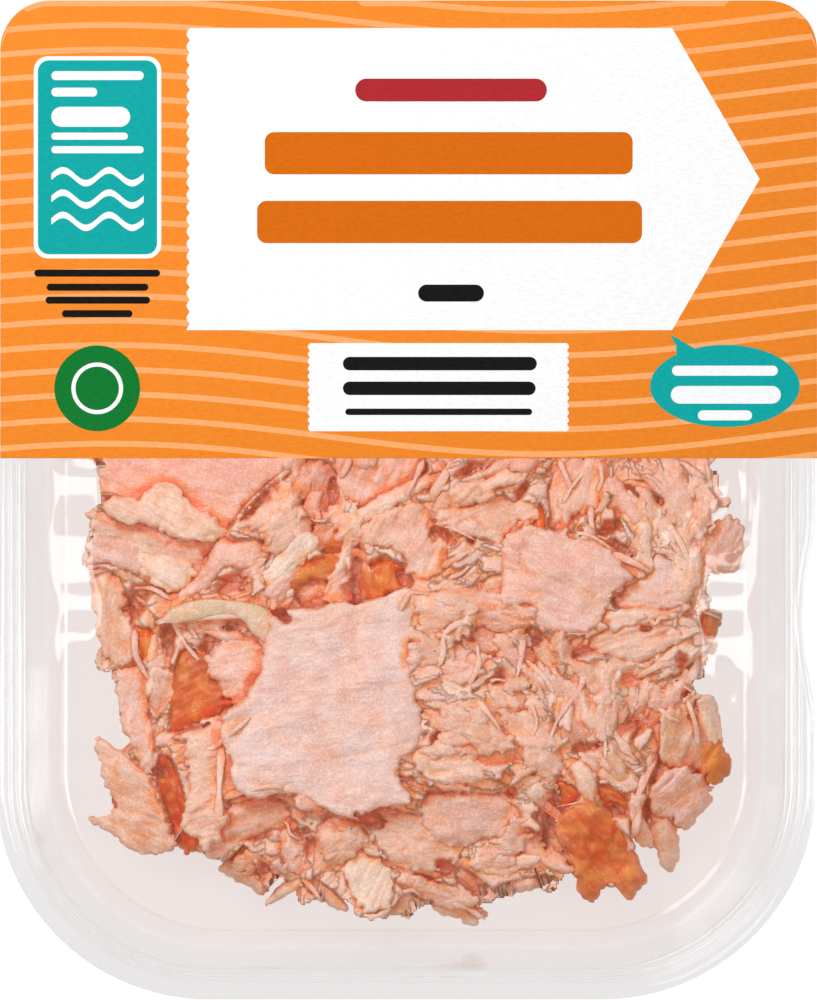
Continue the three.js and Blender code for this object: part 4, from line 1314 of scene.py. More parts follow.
def piece_lean(name, corners):
    """The slope of a drawn piece, from the slope of the heap and a little chance."""
    middle = corners.mean(0)
    chance = np.random.RandomState(len(name) * 13 + int(abs(middle[0]) * 7)).normal(0, 0.05, 2)
    lean = surface_slope(*middle) * LEANS.get(name, 0.8) + chance
    return np.clip(lean, -STEEPEST, STEEPEST)


def cover(mass):
    """Keeps the mass under the drawn pieces and notes how high they stand."""
    for name, (_, top, _, corners) in PIECES.items():
        outline = cut_corners(corners)
        middle = corners.mean(0)
        lean = piece_lean(name, corners)
        here = mass.window(*middle, float(np.abs(outline - middle).max()) + 1)
        inward = inside_distance(mass.x[here], mass.y[here], outline)
        plane = top + lean[0] * (mass.x[here] - middle[0]) + lean[1] * (mass.y[here] - middle[1])
        below = plane - 1.1 - 0.9 * np.clip(inward, 0, 1)
        within = inward > 0
        mass.ceiling[here] = np.where(within, np.minimum(mass.ceiling[here], below), mass.ceiling[here])
        mass.piece_top[here] = np.where(within, np.maximum(mass.piece_top[here], plane), mass.piece_top[here])


print("lean of the great slab:", np.round(piece_lean("great_slab", PIECES["great_slab"][3]), 2))

# %% Lay the flakes of the mass
GOLDEN_ANGLE = math.pi * (3 - math.sqrt(5))
MOST_SHADES = ["peach", "rosy", "pale", "tan", "peach", "rosy", "peach", "grey"]
PICK_RANGE = (12, 48)
LAYER_REACH = 1.12


def spiral_point(order, count, reach):
    """Sunflower rule: evenly spread places over the heap."""
    share = reach * math.sqrt((order + 0.5) / count)
    angle = order * GOLDEN_ANGLE
    scale = share / heap_share(math.cos(angle), math.sin(angle))
    return scale * math.cos(angle), scale * math.sin(angle)


def strewn(draw, count, reach, spread):
    """Spiral places, each moved a little by chance."""
    for order in range(count):
        x, y = spiral_point(order, count, reach)
        yield order, x + draw.normal(0, spread), y + draw.normal(0, spread)


def lay_layer(mass, count, lengths, slimness, sink, spread_turn, steep, seed, low, high):
    draw = np.random.RandomState(seed)
    for _, x, y in strewn(draw, count, LAYER_REACH, 1.0):
        length = draw.uniform(*lengths)
        width = length * draw.uniform(*slimness)
        turn = draw.normal(0, spread_turn)
        lower = draw.uniform(*sink)
        slope = draw.normal(0, steep, 2)
        shade = SHADES[MOST_SHADES[draw.randint(len(MOST_SHADES))]] * draw.uniform(0.92, 1.05)
        pick = draw.uniform(*PICK_RANGE, 2)
        if low < y < high:
            turn = turn + fibre_turn(x, y)
            mass.lay(x, y, length, width, turn, float(surface.at(x, y)) - lower, slope, shade, pick)


def build_mass(left, low, right, high, cell, layers):
    mass = Mass(left, low, right, high, cell)
    cover(mass)
    mass.height = np.minimum(mass.height, mass.ceiling)
    for layer in layers:
        lay_layer(mass, *layer, low - 4, high + 4)
    draw = np.random.RandomState(77)
    for crevice in CREVICES:
        mass.dig(*crevice, draw.uniform(*PICK_RANGE, 2))
    mass.height = 0.4 * mass.height + 0.6 * blurred(mass.height, 0.8)
    return mass


# A layer is its count, lengths, slimness, depths below the tops, spread of turns, slope and seed.
front = build_mass(-60.0, -76.0, 61.0, 10.5, 0.3, [
    (420, (9, 17), (0.4, 0.65), (1.6, 3.2), 25, 0.10, 91),
    (900, (7, 14), (0.3, 0.5), (0.4, 2.0), 28, 0.14, 92),
    (900, (5, 10), (0.28, 0.5), (0.0, 1.4), 34, 0.18, 93),
    (500, (3, 9), (0.10, 0.2), (-0.2, 0.8), 40, 0.16, 94),
])
ground = Field(front.left, front.low, front.cell, blurred(np.maximum(front.height, front.piece_top), 4))
print("mass grid:", front.height.shape, "highest, mm:", round(float(front.height.max()), 1))

# %% [markdown]
# ## From a grid to a closed solid
# The mass and every flake start as a sheet of cells with a ragged border. One helper closes such a sheet: it
# takes a wall down from the border and fills the foot of the wall with triangles.

# %% Cells and their border


def whole_cells(inside):
    """Cells whose four corners are all inside."""
    return inside[:-1, :-1] & inside[1:, :-1] & inside[1:, 1:] & inside[:-1, 1:]


def sheet_faces(keep):
    """Quads of the kept cells, and the edges round them with the cells on their left."""
    index = np.arange((keep.shape[0] + 1) * (keep.shape[1] + 1)).reshape(keep.shape[0] + 1, -1)
    near, right = index[:-1, :-1], index[1:, :-1]
    opposite, up = index[1:, 1:], index[:-1, 1:]
    quads = np.stack([near, right, opposite, up], -1)[keep]
    around = np.pad(keep, 1)
    edges = []
    for first, second, neighbour in (
        (near, right, around[1:-1, :-2]), (right, opposite, around[2:, 1:-1]),
        (opposite, up, around[1:-1, 2:]), (up, near, around[:-2, 1:-1]),
    ):
        border = keep & ~neighbour
        edges.append(np.column_stack([first[border], second[border]]))
    return quads, np.concatenate(edges)


def flooded(start, allowed):
    """The allowed cells that join up with the start, side by side."""
    reached = start & allowed
    while True:
        spread = reached.copy()
        spread[1:] |= reached[:-1]
        spread[:-1] |= reached[1:]
        spread[:, 1:] |= reached[:, :-1]
        spread[:, :-1] |= reached[:, 1:]
        spread &= allowed
        if (spread == reached).all():
            return reached
        reached = spread


def without_holes(keep):
    """The kept cells with their holes filled, so that only the outer rim is torn."""
    gaps = np.pad(~keep, 1, constant_values=True)
    rim = np.zeros_like(gaps)
    rim[0] = rim[-1] = rim[:, 0] = rim[:, -1] = True
    return ~flooded(rim, gaps)[1:-1, 1:-1]


# %% Close a sheet of cells


def border_loops(edges):
    """The border's edges put in order, one closed loop after another."""
    leads = {}
    for first, second in edges.tolist():
        leads.setdefault(first, []).append(second)
    loops = []
    while leads:
        start = next(iter(leads))
        loop, at = [], start
        while at in leads:
            loop.append(at)
            onward = leads[at].pop()
            if not leads[at]:
                del leads[at]
            at = onward
        loops.append(loop)
    return loops


def underside(loops, flat):
    """Triangles that fill the loops, seen from below; flat gives x and y by loop order."""
    order = [index for loop in loops for index in loop]
    outlines = [[Vector((*flat[index], 0.0)) for index in loop] for loop in loops]
    tris = [[order[i] for i in tri] for tri in tessellate_polygon(outlines)]
    tris = np.array(tris, np.int64).reshape(-1, 3)
    first, second, third = (flat[tris[:, i]] for i in range(3))
    across, along = second - first, third - first
    upward = across[:, 0] * along[:, 1] - across[:, 1] * along[:, 0] > 0
    return np.where(upward[:, None], tris[:, ::-1], tris)


def closed_solid(points, quads, edges, walls):
    """Points and faces of a sheet with walls; each wall row gives the border's points lower down."""
    used = np.unique(quads)
    place = np.full(len(points), -1)
    place[used] = np.arange(len(used))
    border = np.unique(edges)
    row_of = np.full(len(points), -1)
    row_of[border] = np.arange(len(border))
    faces = [place[quads]]
    upper = place[edges]
    count = len(used)
    for _ in walls:
        lower = count + row_of[edges]
        faces.append(np.column_stack([upper[:, 1], upper[:, 0], lower[:, 0], lower[:, 1]]))
        upper = lower
        count += len(border)
    tris = underside(border_loops(row_of[edges]), walls[-1][:, :2]) + count - len(border)
    return np.concatenate([points[used], *walls]), np.concatenate(faces), tris, used, border


# %% [markdown]
# ## The flank of the heap
# The heap's steep flank shows through the clear wall of the tray. Stacked flakes make it uneven, so its rows
# of points are pushed in and out by noise in thin layers, and its colour changes with the layers. Towards its
# foot the colour is painted deeper, as the shade under the heap.

# %% The mass as a mesh
FLANK_ROWS = (0.12, 0.24, 0.36, 0.5, 0.64, 0.8, 1.0)
FLANK_SHARE = 0.97
NARROWEST_FLANK, NARROWEST_FOOT = 0.86, 0.9
MASS_REACH, MASS_CORE = 1.065, 0.8
PIECE_MARGIN = 3.0


def mass_cells(mass):
    """The cells of the heap: those inside its outline, and those well under a drawn piece."""
    share = heap_share(mass.x, mass.y)
    ragged = 0.06 * noise(mass.x / 3.5, mass.y / 3.5, 0.0, 311)
    ragged = ragged + 0.02 * noise(mass.x / 1.2, mass.y / 1.2, 0.0, 312)
    covered = blurred((mass.piece_top > 0).astype(float), PIECE_MARGIN / mass.cell)
    inside = (share < MASS_REACH + ragged) | (covered > 0.6 + 2 * ragged)
    return without_holes(flooded(share[:-1, :-1] < MASS_CORE, whole_cells(inside)))


def flank_row(rim, drop):
    """The border's points at a share of the way down, pushed in and out layer by layer."""
    row = rim * [1, 1, 1 - drop] + [0, 0, LOWEST * drop]
    x, y, z = row.T
    share = FLANK_SHARE + 0.06 * rough(x / 5.0, y / 5.0, z / 0.9, 315, 2)
    share = share + 0.05 * noise(x / 3.0, y / 3.0, z / 1.6, 316)
    narrowest = NARROWEST_FLANK if drop < 1 else NARROWEST_FOOT
    row[:, :2] *= np.maximum(np.minimum(1.0, share / heap_share(x, y)), narrowest)[:, None]
    return row


def mass_solid(mass, basket):
    quads, edges = sheet_faces(mass_cells(mass))
    points = np.stack([mass.x, mass.y, np.minimum(mass.height, HEAP_CEILING)], -1).reshape(-1, 3)
    rim = points[np.unique(edges)]
    rows = [flank_row(rim, drop) for drop in FLANK_ROWS]
    points, quads, tris, used, border = closed_solid(points, quads, edges, rows)
    colour = mass.colour.reshape(-1, 3)
    spots = rough(mass.x / 2.6, mass.y / 2.6, 0.0, 313)[..., None] * np.array([0.08, 0.16, 0.2])
    colour = colour * (1 + spots.reshape(-1, 3))
    flank = []
    for drop, row in zip(FLANK_ROWS, rows):
        band = 0.10 * rough(row[:, 0] / 6.0, row[:, 1] / 6.0, row[:, 2] / 1.1, 317, 2)[:, None]
        # Painted shade: the flank's colour deepens towards its foot.
        flank.append(((1 - 0.4 * drop) * colour[border] + 0.4 * drop * SHADES["deep"]) * (1 + band))
    colour = np.concatenate([colour[used], *flank])
    fibres = mass.fibres.reshape(-1, 3)
    across = [fibres[border] + np.array([0, 0, 1.0]) * (drop * 9.0) for drop in FLANK_ROWS]
    fibres = np.concatenate([fibres[used], *across])
    basket.add(points, quads, tris, np.clip(colour, 0, 1), fibres)


mass_basket = Basket()
mass_solid(front, mass_basket)
print("mass:", mass_basket.triangles(), "triangles")

# %% [markdown]
# ## One flake
# A flake is a slab of muscle that came away along its natural layers. Its face is fairly flat, with fine
# fibres and peeled steps. Its rim is torn: frayed where the fibres end, cleaner along their sides. A fine
# grid is laid over the outline, the cells inside it are kept, the border is pulled onto the torn line, and a
# bulging side closes the sheet.

# %% Face, rim and side of a flake
FILM_EASE = 0.9
PEELED_STEPS = (0.30, -0.25)
FLAKE_BLUSH = np.array([0.4, 1.3, 1.7])
FLAKE_CREASE_SHADE = np.array([0.97, 0.80, 0.68])
LEAST_STEEP = 0.4
MOST_PULL = 1.2


def under_film(z):
    """Presses down what would reach the film."""
    start = HEAP_CEILING - FILM_EASE
    return np.where(z > start, start + FILM_EASE * np.tanh((z - start) / FILM_EASE), z)


def flake_relief(u, v, seed, relief, layers):
    """Height of a flake's upper face from fibres, creases and peeled layers, and how creased it is."""
    strands = rough(u / 5.0, v / 1.0, 2.0, seed + 4, 3) + 0.7 * noise(u / 2.0, v / 1.6, 4.0, seed + 5)
    height = noise(u / 8.0 + 3, v / 3.0, 5.0, seed + 6) + 0.45 * noise(u / 2.6, v / 1.4, 6.0, seed + 7)
    upper, lower = (0.25 * (1 + np.tanh(7 * (height - step))) for step in PEELED_STEPS)
    peeled = 1 - upper - lower
    crease = np.exp(-((noise(u / 4.5, v / 1.7, 9.0, seed + 8) / 0.10) ** 2))
    crease = crease * smooth_step(-0.2, 0.5, noise(u / 4.0, v / 4.0, 11.0, seed + 10))
    grooves = np.exp(-((noise(u / 7.0, v / 1.2, 3.0, seed + 12) / 0.15) ** 2))
    height = relief * (strands - 1.2 * grooves - 2.4 * crease) - layers * peeled
    return height, np.maximum(crease, 0.5 * grooves) * min(1.0, relief / 0.16)


def torn_rim(u, v, inward, turn, seed, cell):
    """How far the outline is torn in or out, more at the ends of the fibres than along them."""
    rise_x, rise_y = np.gradient(inward, cell)
    ends = np.abs(turned(rise_x, rise_y, -turn)[0])
    torn = noise(u / 3.0, v / 1.3, 0.0, seed) + 0.7 * noise(u / 1.4, v / 0.6, 3.0, seed + 1)
    torn = torn * (0.3 + 1.0 * ends**2) + 0.8 * noise(u / 3.5, v / 3.5, 7.0, seed + 2)
    return torn + 0.6 * noise(u / 0.8, v / 0.8, 9.0, seed + 2)


def pulled_to_rim(x, y, inward, border, cell):
    """All points in a row, with the border on the torn line, and the way out at the border."""
    rise_x, rise_y = (g.ravel() for g in np.gradient(inward, cell))
    steep = np.maximum(np.hypot(rise_x, rise_y), LEAST_STEEP)[border]
    x, y, inward = x.ravel(), y.ravel(), inward.ravel()
    pull = np.clip(inward[border] / steep, -MOST_PULL * cell, MOST_PULL * cell)
    x[border] -= pull * rise_x[border] / steep
    y[border] -= pull * rise_y[border] / steep
    inward[border] = 0.0
    return x, y, inward, -rise_x[border] / steep, -rise_y[border] / steep


def flake_side(x, y, z, out_x, out_y, thickness, seed, rows):
    """Rows of points down the side, which bulges and then draws in."""
    walls = []
    for down in np.arange(1, rows + 1) / rows:
        leaf = noise(x / 1.8, y / 1.8, down * thickness / 0.6, seed + 8)
        bulge = 0.3 * math.sin(math.pi * down) - 0.9 * down**2 + 0.3 * leaf
        walls.append(np.column_stack([x + bulge * out_x, y + bulge * out_y, z - (thickness - 0.7) * down]))
    return walls


def flake_colours(points, colour, blush, seed, depth_in, down, crease):
    """The flake's colour with soft spots, paler towards its rim, and with painted shade in its creases."""
    x, y, z = points.T
    spots = rough(x / 4.0, y / 4.0, z / 4.0, seed + 9, 3)[:, None]
    tint = colour[None, :] * (1.0 + blush * spots * FLAKE_BLUSH)
    pale = (0.30 * np.exp(-depth_in / 0.9) * (1 - down))[:, None]
    tint = tint * (1 - pale) + (0.35 * tint + 0.65 * SHADES["cream"]) * pale
    # Painted shade: creases are darkened and warmed.
    return np.clip(tint * FLAKE_CREASE_SHADE ** crease[:, None], 0, 1)


# %% Build one flake
FLESH_BLUSH, SMOKED_BLUSH = 0.2, 0.55
OUTLINE_MARGIN = 1.6
RIM_ROUNDING, RIM_DROOP = 0.55, 2.6


def lay_flake(
    basket, corners, top, turn, seed, colour, lean, cell=0.31, thickness=4.0, fray=None, swell=0.7,
    relief=0.2, layers=0.4, blush=FLESH_BLUSH, rows=4, cut=False, drape=None,
):
    """Puts one flake into the basket; small drawn pieces fray less."""
    if fray is None:
        fray = 0.55 * min(1.0, (outline_area(corners) / 40) ** 0.7)
    outline = cut_corners(corners)
    middle = outline.mean(0)
    low, high = outline.min(0) - OUTLINE_MARGIN, outline.max(0) + OUTLINE_MARGIN
    x, y = grid(low[0], high[0], low[1], high[1], cell)
    u, v = turned(x - middle[0], y - middle[1], -turn)
    inward = inside_distance(x, y, outline)
    torn = torn_rim(u, v, inward, turn, seed, cell)
    inward = inward + fray * torn
    if cut:
        inward = np.minimum(inward, beside_crevices(x, y, torn))
    keep = whole_cells(inward > -0.5 * cell)
    if keep.sum() < 4:
        return
    quads, edges = sheet_faces(without_holes(keep))
    border = np.unique(edges)
    x, y, inward, out_x, out_y = pulled_to_rim(x, y, inward, border, cell)
    u, v = turned(x - middle[0], y - middle[1], -turn)
    depth_in = np.maximum(inward, 0)
    rim = 1 - np.clip(depth_in / RIM_ROUNDING, 0, 1)
    z = top + lean[0] * (x - middle[0]) + lean[1] * (y - middle[1])
    if drape is not None:
        z = z + drape.at(x, y)
    z = z + swell * (noise(x / 6.0, y / 6.0, 1.5, seed + 3) + 0.45 * noise(x / 2.4, y / 2.4, 2.5, seed + 3))
    face, crease = flake_relief(u, v, seed, relief, layers)
    z = z + face * (1 - rim**3)
    z = z - 0.5 * (1 - np.clip(depth_in / RIM_DROOP, 0, 1)) ** 2 - 0.5 * (1 - np.sqrt(1 - rim**2))
    walls = flake_side(x[border], y[border], z[border], out_x, out_y, thickness, seed, rows)
    points, quads, tris, used, border = closed_solid(np.column_stack([x, y, z]), quads, edges, walls)
    points[:, 2] = np.maximum(under_film(points[:, 2]), LOWEST)
    whole = np.concatenate([used, *[border] * rows])
    down = np.concatenate([np.zeros(len(used)), np.repeat(np.arange(1, rows + 1) / rows, len(border))])
    tint = flake_colours(points, colour, blush, seed, depth_in[whole], down, crease[whole])
    basket.add(points, quads, tris, tint, np.column_stack([u[whole], v[whole], down * thickness]))


# %% Build the drawn pieces
shown, smoked_pieces = Basket(), Basket()
for order, (name, (shade, top, turn, corners)) in enumerate(PIECES.items()):
    target, blush = (smoked_pieces, SMOKED_BLUSH) if shade in SMOKED_SHADES else (shown, FLESH_BLUSH)
    lean = piece_lean(name, corners)
    look = LOOKS.get(name, {})
    lay_flake(target, corners, top, turn, 11 + 29 * order, SHADES[shade], lean, cut=True, blush=blush, **look)
print("shown:", shown.triangles(), "smoked:", smoked_pieces.triangles())

# %% [markdown]
# ## Torn flakes between them
# Flakes of a middle size fill the gaps between the drawn pieces. They are strewn by the sunflower rule at
# the height of the surface, and point as their neighbours do, give or take. The broad pieces stay clean.

# %% Where the broad, clean pieces lie
CLEAN_AREA = 75.0
DEPTH_CELL, DEPTH_RIGHT, DEPTH_HIGH = 0.7, 64, 14
# Each shredded part is an ellipse: its middle, and its reach across and along.
SHREDDED = [
    (29, -31, 26, 15), (50, -12, 8, 16), (31, 3, 15, 5), (6, -56, 19, 7), (12, -8, 8, 6), (-45, -26, 6, 8),
]


def depth_field(outlines):
    """How far inside one of the outlines each point lies, as a field."""
    x, y = grid(FIELD_LEFT, DEPTH_RIGHT, FIELD_LOW, DEPTH_HIGH, DEPTH_CELL)
    depth = np.full(x.shape, -20.0)
    for corners in outlines:
        depth = np.maximum(depth, inside_distance(x, y, corners))
    return Field(FIELD_LEFT, FIELD_LOW, DEPTH_CELL, depth)


every = [corners for _, _, _, corners in PIECES.values()]
clean = [corners for corners in every if outline_area(corners) > CLEAN_AREA]
clean_depth, piece_depth = depth_field(clean), depth_field(every)
print("broad, clean pieces:", len(clean))


def is_free(x, y, margin):
    """True in the gaps, and on the small pieces of the shredded parts."""
    if clean_depth.at(x, y) > margin:
        return False
    shredded = any(((x - cx) / a) ** 2 + ((y - cy) / b) ** 2 < 1 for cx, cy, a, b in SHREDDED)
    return shredded or piece_depth.at(x, y) < 0.5


# %% Tear the flakes of middle size
FLAKE_REACH = 1.1
SHOWN_REACH, HIDDEN_REACH = 1.06, 0.93
CARD_EDGE_Y = 9
TORN_SHAPE = np.array([
    (-0.50, -0.24), (-0.44, 0.30), (-0.12, 0.48), (0.26, 0.44), (0.50, 0.26), (0.46, -0.20), (0.14, -0.50),
    (-0.24, -0.46),
])


def torn_outline(draw, length, width, turn):
    """A blunt, skewed outline round its middle."""
    u, v = ((TORN_SHAPE + draw.normal(0, 0.07, TORN_SHAPE.shape)) * [length, width]).T
    return turned(u, v + draw.normal(0, 0.25) * u * width / length, turn)


def tear_flakes(
    basket, count, lengths, slimness, thickness, sink, spread_turn, steep, seed, margin, low, high, cell
):
    """Strews torn flakes over the ground between two limits, where they don't cover a clean piece."""
    draw = np.random.RandomState(seed)
    made = 0
    for order, x, y in strewn(draw, count, SHOWN_REACH if low < 0 else HIDDEN_REACH, 1.0):
        length = draw.uniform(*lengths)
        width = length * draw.uniform(*slimness)
        outline = torn_outline(draw, length, width, draw.normal(0, spread_turn))
        thick, lower, lean = draw.uniform(*thickness), draw.uniform(*sink), draw.normal(0, steep, 2)
        shade = SHADES[MOST_SHADES[draw.randint(len(MOST_SHADES))]] * draw.uniform(0.93, 1.04)
        if not low < y < high or (margin is not None and not is_free(x, y, margin)):
            continue
        turn = fibre_turn(x, y)
        outline = np.column_stack(turned(*outline, turn)) + [x, y]
        in_view = y < CARD_EDGE_Y
        if heap_share(*outline.T).max() > FLAKE_REACH or (in_view and clean_depth.at(*outline.T).max() > 1.2):
            continue
        lay_flake(
            basket, outline, -lower, turn, 7000 + 11 * order + seed, shade, lean,
            cell=cell, thickness=thick, fray=0.8, rows=2, cut=in_view, swell=0.2, drape=ground,
        )
        made += 1
    print("torn flakes:", made, "triangles:", basket.triangles())


middling = Basket()
tear_flakes(middling, 380, (7.0, 16), (0.28, 0.6), (1.0, 1.7), (-0.9, -0.2), 30, 0.08, 71, 0.8, -80, 10, 0.32)

# %% [markdown]
# ## Strands
# Where flakes were pulled apart, bundles of fibre still bridge the gap or stand off the rim. They are thin,
# bent, flat tubes that taper towards their ends. The largest are drawn one by one, the rest are strewn over
# the shredded parts.

# %% One strand


def strand(basket, path, width, thickness, seed, colour, taper, sides=6):
    """A flat tube along a path of points, wide at its root and thin at its tip."""
    path = np.asarray(path, float)
    steps = len(path)
    along = np.gradient(path, axis=0)
    along = along / np.maximum(np.linalg.norm(along, axis=1, keepdims=True), 1e-9)
    across = np.cross([0.0, 0.0, 1.0], along)
    across = across / np.maximum(np.linalg.norm(across, axis=1, keepdims=True), 1e-6)
    rise = np.cross(along, across)
    share = np.linspace(0, 1, steps)
    body = np.clip(share * 9, 0.4, 1) * (1 - taper * share**1.3) * np.clip((1 - share) * 9, 0.3, 1)
    body = body * (1 + 0.45 * noise(share * 4, seed % 31, 0.0, seed))
    angle = np.linspace(0, 2 * np.pi, sides, endpoint=False)
    ring = (
        across[:, None, :] * (np.cos(angle)[None, :] * body[:, None] * width / 2)[..., None]
        + rise[:, None, :] * (np.sin(angle)[None, :] * body[:, None] * thickness / 2)[..., None]
    )
    points = np.vstack([(path[:, None, :] + ring).reshape(-1, 3), path[0], path[-1]])
    start = np.arange(steps - 1)[:, None] * sides
    side = np.arange(sides)
    follow = (side + 1) % sides
    quads = np.stack([start + side, start + follow, start + sides + follow, start + sides + side], -1)
    last = (steps - 1) * sides
    tris = np.concatenate([
        np.column_stack([np.full(sides, steps * sides), follow, side]),
        np.column_stack([np.full(sides, steps * sides + 1), last + side, last + follow]),
    ])
    points[:, 2] = np.maximum(under_film(points[:, 2]), LOWEST)
    lengthwise = np.append(np.repeat(share * steps * 0.6, sides), [0, 0])
    around = np.append(np.tile(np.sin(angle), steps), [0, 0])
    fibres = np.column_stack([lengthwise, around, np.full(len(points), (seed % 89) * 1.7)])
    basket.add(points, quads.reshape(-1, 4), tris, np.clip(np.tile(colour, (len(points), 1)), 0, 1), fibres)


def smooth_path(corners, steps):
    """A line through a few corners, with its bends eased."""
    corners = np.array(corners, float)
    run = np.linspace(0, len(corners) - 1, steps)
    line = np.column_stack([np.interp(run, range(len(corners)), column) for column in corners.T])
    for _ in range(3):
        line[1:-1] = (line[:-2] + 2 * line[1:-1] + line[2:]) / 4
    return line


# %% Drawn and strewn strands
STRAND_STEPS, STRAND_REACH = 16, 1.08


def strew_strands(basket, count, lengths, widths, seed):
    """Lays short strands in the gaps, bowed and sagging, with their ends bent down."""
    draw = np.random.RandomState(seed)
    made = 0
    for order, x, y in strewn(draw, count, STRAND_REACH, 1.2):
        length, width = draw.uniform(*lengths), draw.uniform(*widths)
        turn = math.radians(fibre_turn(x, y) + draw.normal(0, 35))
        rise, sag = draw.uniform(-0.3, 0.3), draw.normal(0, 0.2)
        bow, slope = draw.normal(0, 0.13), draw.normal(0, 0.05)
        shade = SHADES[["pale", "peach", "peach", "rosy"][draw.randint(4)]] * draw.uniform(0.95, 1.02)
        if y > 10 or not is_free(x, y, 0.6):
            continue
        share = np.linspace(-1, 1, 10)
        px = share * length / 2
        py = bow * length * (1 - share**2) + 0.5 * noise(share * 2.2, order, 0.0, seed)
        wx = px * math.cos(turn) - py * math.sin(turn) + x
        wy = px * math.sin(turn) + py * math.cos(turn) + y
        wz = ground.at(wx, wy) + rise + slope * px - sag * (1 - share**2) + 0.6 - 1.5 * share**4
        strand(basket, np.column_stack([wx, wy, wz]), 1.5 * width, width * 0.4, 9000 + order, shade, 0.5)
        made += 1
    print("strands:", made, "triangles:", basket.triangles())


STRANDS = [
    ([(-31.5, -42), (-32, -49.5), (-32, -56.5)], 1.4),
    ([(-35.5, -42.5), (-33, -42.5), (-29.5, -39.5), (-26.5, -37)], 1.0),
    ([(-47, -15), (-43.5, -15), (-39.5, -17.5)], 0.7),
    ([(-46.5, -16.5), (-43.5, -18.5), (-41.5, -21)], 0.9), ([(-40, -20), (-38, -24.5), (-35, -28)], 1.0),
    ([(-46.5, -22), (-46.5, -26.5), (-44, -31)], 0.9), ([(-30.5, -17), (-28.5, -16.5), (-26, -15.5)], 0.5),
    ([(-31.5, -51), (-27.5, -49.5), (-22, -48.5), (-20.5, -50)], 1.2),
    ([(31.5, -1), (31.5, -3.5), (32, -6)], 0.9), ([(28.5, -5.5), (31.5, -6), (36, -9)], 1.0),
    ([(35, -9), (39.5, -11), (42, -12.5)], 1.2), ([(4.5, -4), (8.5, -5), (12, -7)], 0.7),
    ([(4, 0), (6.5, 4), (8, 7.5)], 1.4), ([(6, -11.5), (9, -9.5), (11.5, -8.5)], 1.4),
    ([(7, -13.5), (9.5, -12.5), (11, -11)], 1.0),
    ([(5, -29), (6.5, -26), (6, -23), (8.5, -21), (11.5, -20.5)], 1.4),
    ([(12, -24.5), (12.5, -28), (10.5, -32)], 1.0), ([(20, -23), (19.5, -27.5), (18.5, -32)], 1.0),
    ([(20, -27), (23.5, -30), (25.5, -33.5)], 1.0), ([(39, -30.5), (43.5, -28), (47, -28)], 1.0),
    ([(29, -33), (25.5, -38), (24, -42.5)], 0.9), ([(34, -40.5), (34, -42), (34, -44.5)], 0.7),
    ([(34.5, -38.5), (37.5, -42.5), (39.5, -45)], 1.5), ([(43, -43.5), (40.5, -48), (39, -52.5)], 1.4),
    ([(25.5, -52.5), (28, -52), (30, -51.5)], 0.3), ([(38.5, -50), (40, -53.5), (38.5, -58)], 1.5),
    ([(26, 7), (27.5, 3.5), (28.5, 1)], 0.9), ([(30.5, 5), (28, 2), (26.5, -1)], 0.9),
    ([(33, 6.5), (33.5, 3.5), (32.5, 1)], 0.9), ([(39.5, 5), (42.5, 3.5), (44.5, 1)], 1.0),
    ([(44.5, -3.5), (47, -7.5), (49, -12.5)], 1.0), ([(42.5, -34.5), (44.5, -37), (47, -38)], 0.9),
    ([(48, -34), (49.5, -38.5), (50, -42.5)], 1.0), ([(12, -34), (14.5, -37), (16.5, -40)], 1.0),
    ([(21, -34), (22.5, -38), (21, -41.5)], 1.0), ([(7.5, -69), (10.5, -70), (13.5, -72)], 0.9),
    ([(-18, -64.5), (-16, -66.5), (-14.5, -69)], 0.9), ([(-9.5, 7.5), (-10.5, 5), (-11.5, 3.5)], 0.9),
    ([(3, 7), (1.5, 3.5), (-0.5, 0)], 0.9),
]
strands = Basket()
for order, (corners, width) in enumerate(STRANDS):
    line = smooth_path(corners, STRAND_STEPS)
    arch = np.sin(np.linspace(0, math.pi, STRAND_STEPS)) ** 0.6
    path = np.column_stack([line, ground.at(*line.T) - 0.4 + arch])
    shade = SHADES[("pale", "peach", "rosy")[order % 3]]
    strand(strands, path, 1.05 * width, 0.34 * width, 300 + order, shade, 0.35, sides=8)
strew_strands(strands, 40, (3.0, 7.0), (0.5, 1.1), 333)

# %% [markdown]
# ## The band of fat
# A hooked, cream band lies above the great slab's upper left corner: skin fat that the smoke left pale and a
# little green. It is two flat strands along a drawn path, a wide one and a narrow, paler one along its inner
# edge.

# %% The band of fat
FAT_PATH = [
    (-42.5, -21.0, 14.8), (-38.5, -19.4, 15.9), (-34.0, -18.4, 16.2), (-29.5, -18.3, 16.5),
    (-26.0, -19.6, 16.8), (-23.6, -22.2, 17.0), (-22.8, -26.0, 16.4),
]
INNER_EDGE = [0.5, -1.2, -0.3]
FAT_WIDTH, EDGE_WIDTH, FAT_THICKNESS = 2.7, 1.5, 0.9
fat_band, fat_edge = smooth_path(FAT_PATH, 44), smooth_path((np.array(FAT_PATH) + INNER_EDGE)[1:], 36)
strand(strands, fat_band, FAT_WIDTH, FAT_THICKNESS, 77, 0.9 * SHADES["fat"], -0.35, sides=16)
strand(strands, fat_edge, EDGE_WIDTH, FAT_THICKNESS, 78, SHADES["cream"], -0.2, sides=12)
print("triangles of all strands:", strands.triangles())

# %% [markdown]
# ## Under the card
# The flakes under the card still show from behind through the clear wall. They are laid by the same rules,
# with fewer, larger flakes on a coarser grid.

# %% The hidden half
back = build_mass(-56.0, 9.5, 56.0, 72.0, 0.7, [
    (420, (9, 17), (0.4, 0.65), (1.2, 3.0), 60, 0.12, 191),
    (1300, (5, 11), (0.3, 0.5), (0.0, 2.0), 60, 0.2, 192),
])
front_ground = ground
ground = Field(back.left, back.low, back.cell, blurred(back.height, 3))
back_basket, hidden = Basket(), Basket()
mass_solid(back, back_basket)
tear_flakes(hidden, 420, (9, 18), (0.4, 0.6), (1.6, 3.0), (-1.4, -0.2), 70, 0.08, 271, None, 12, 80, 0.6)
ground = front_ground
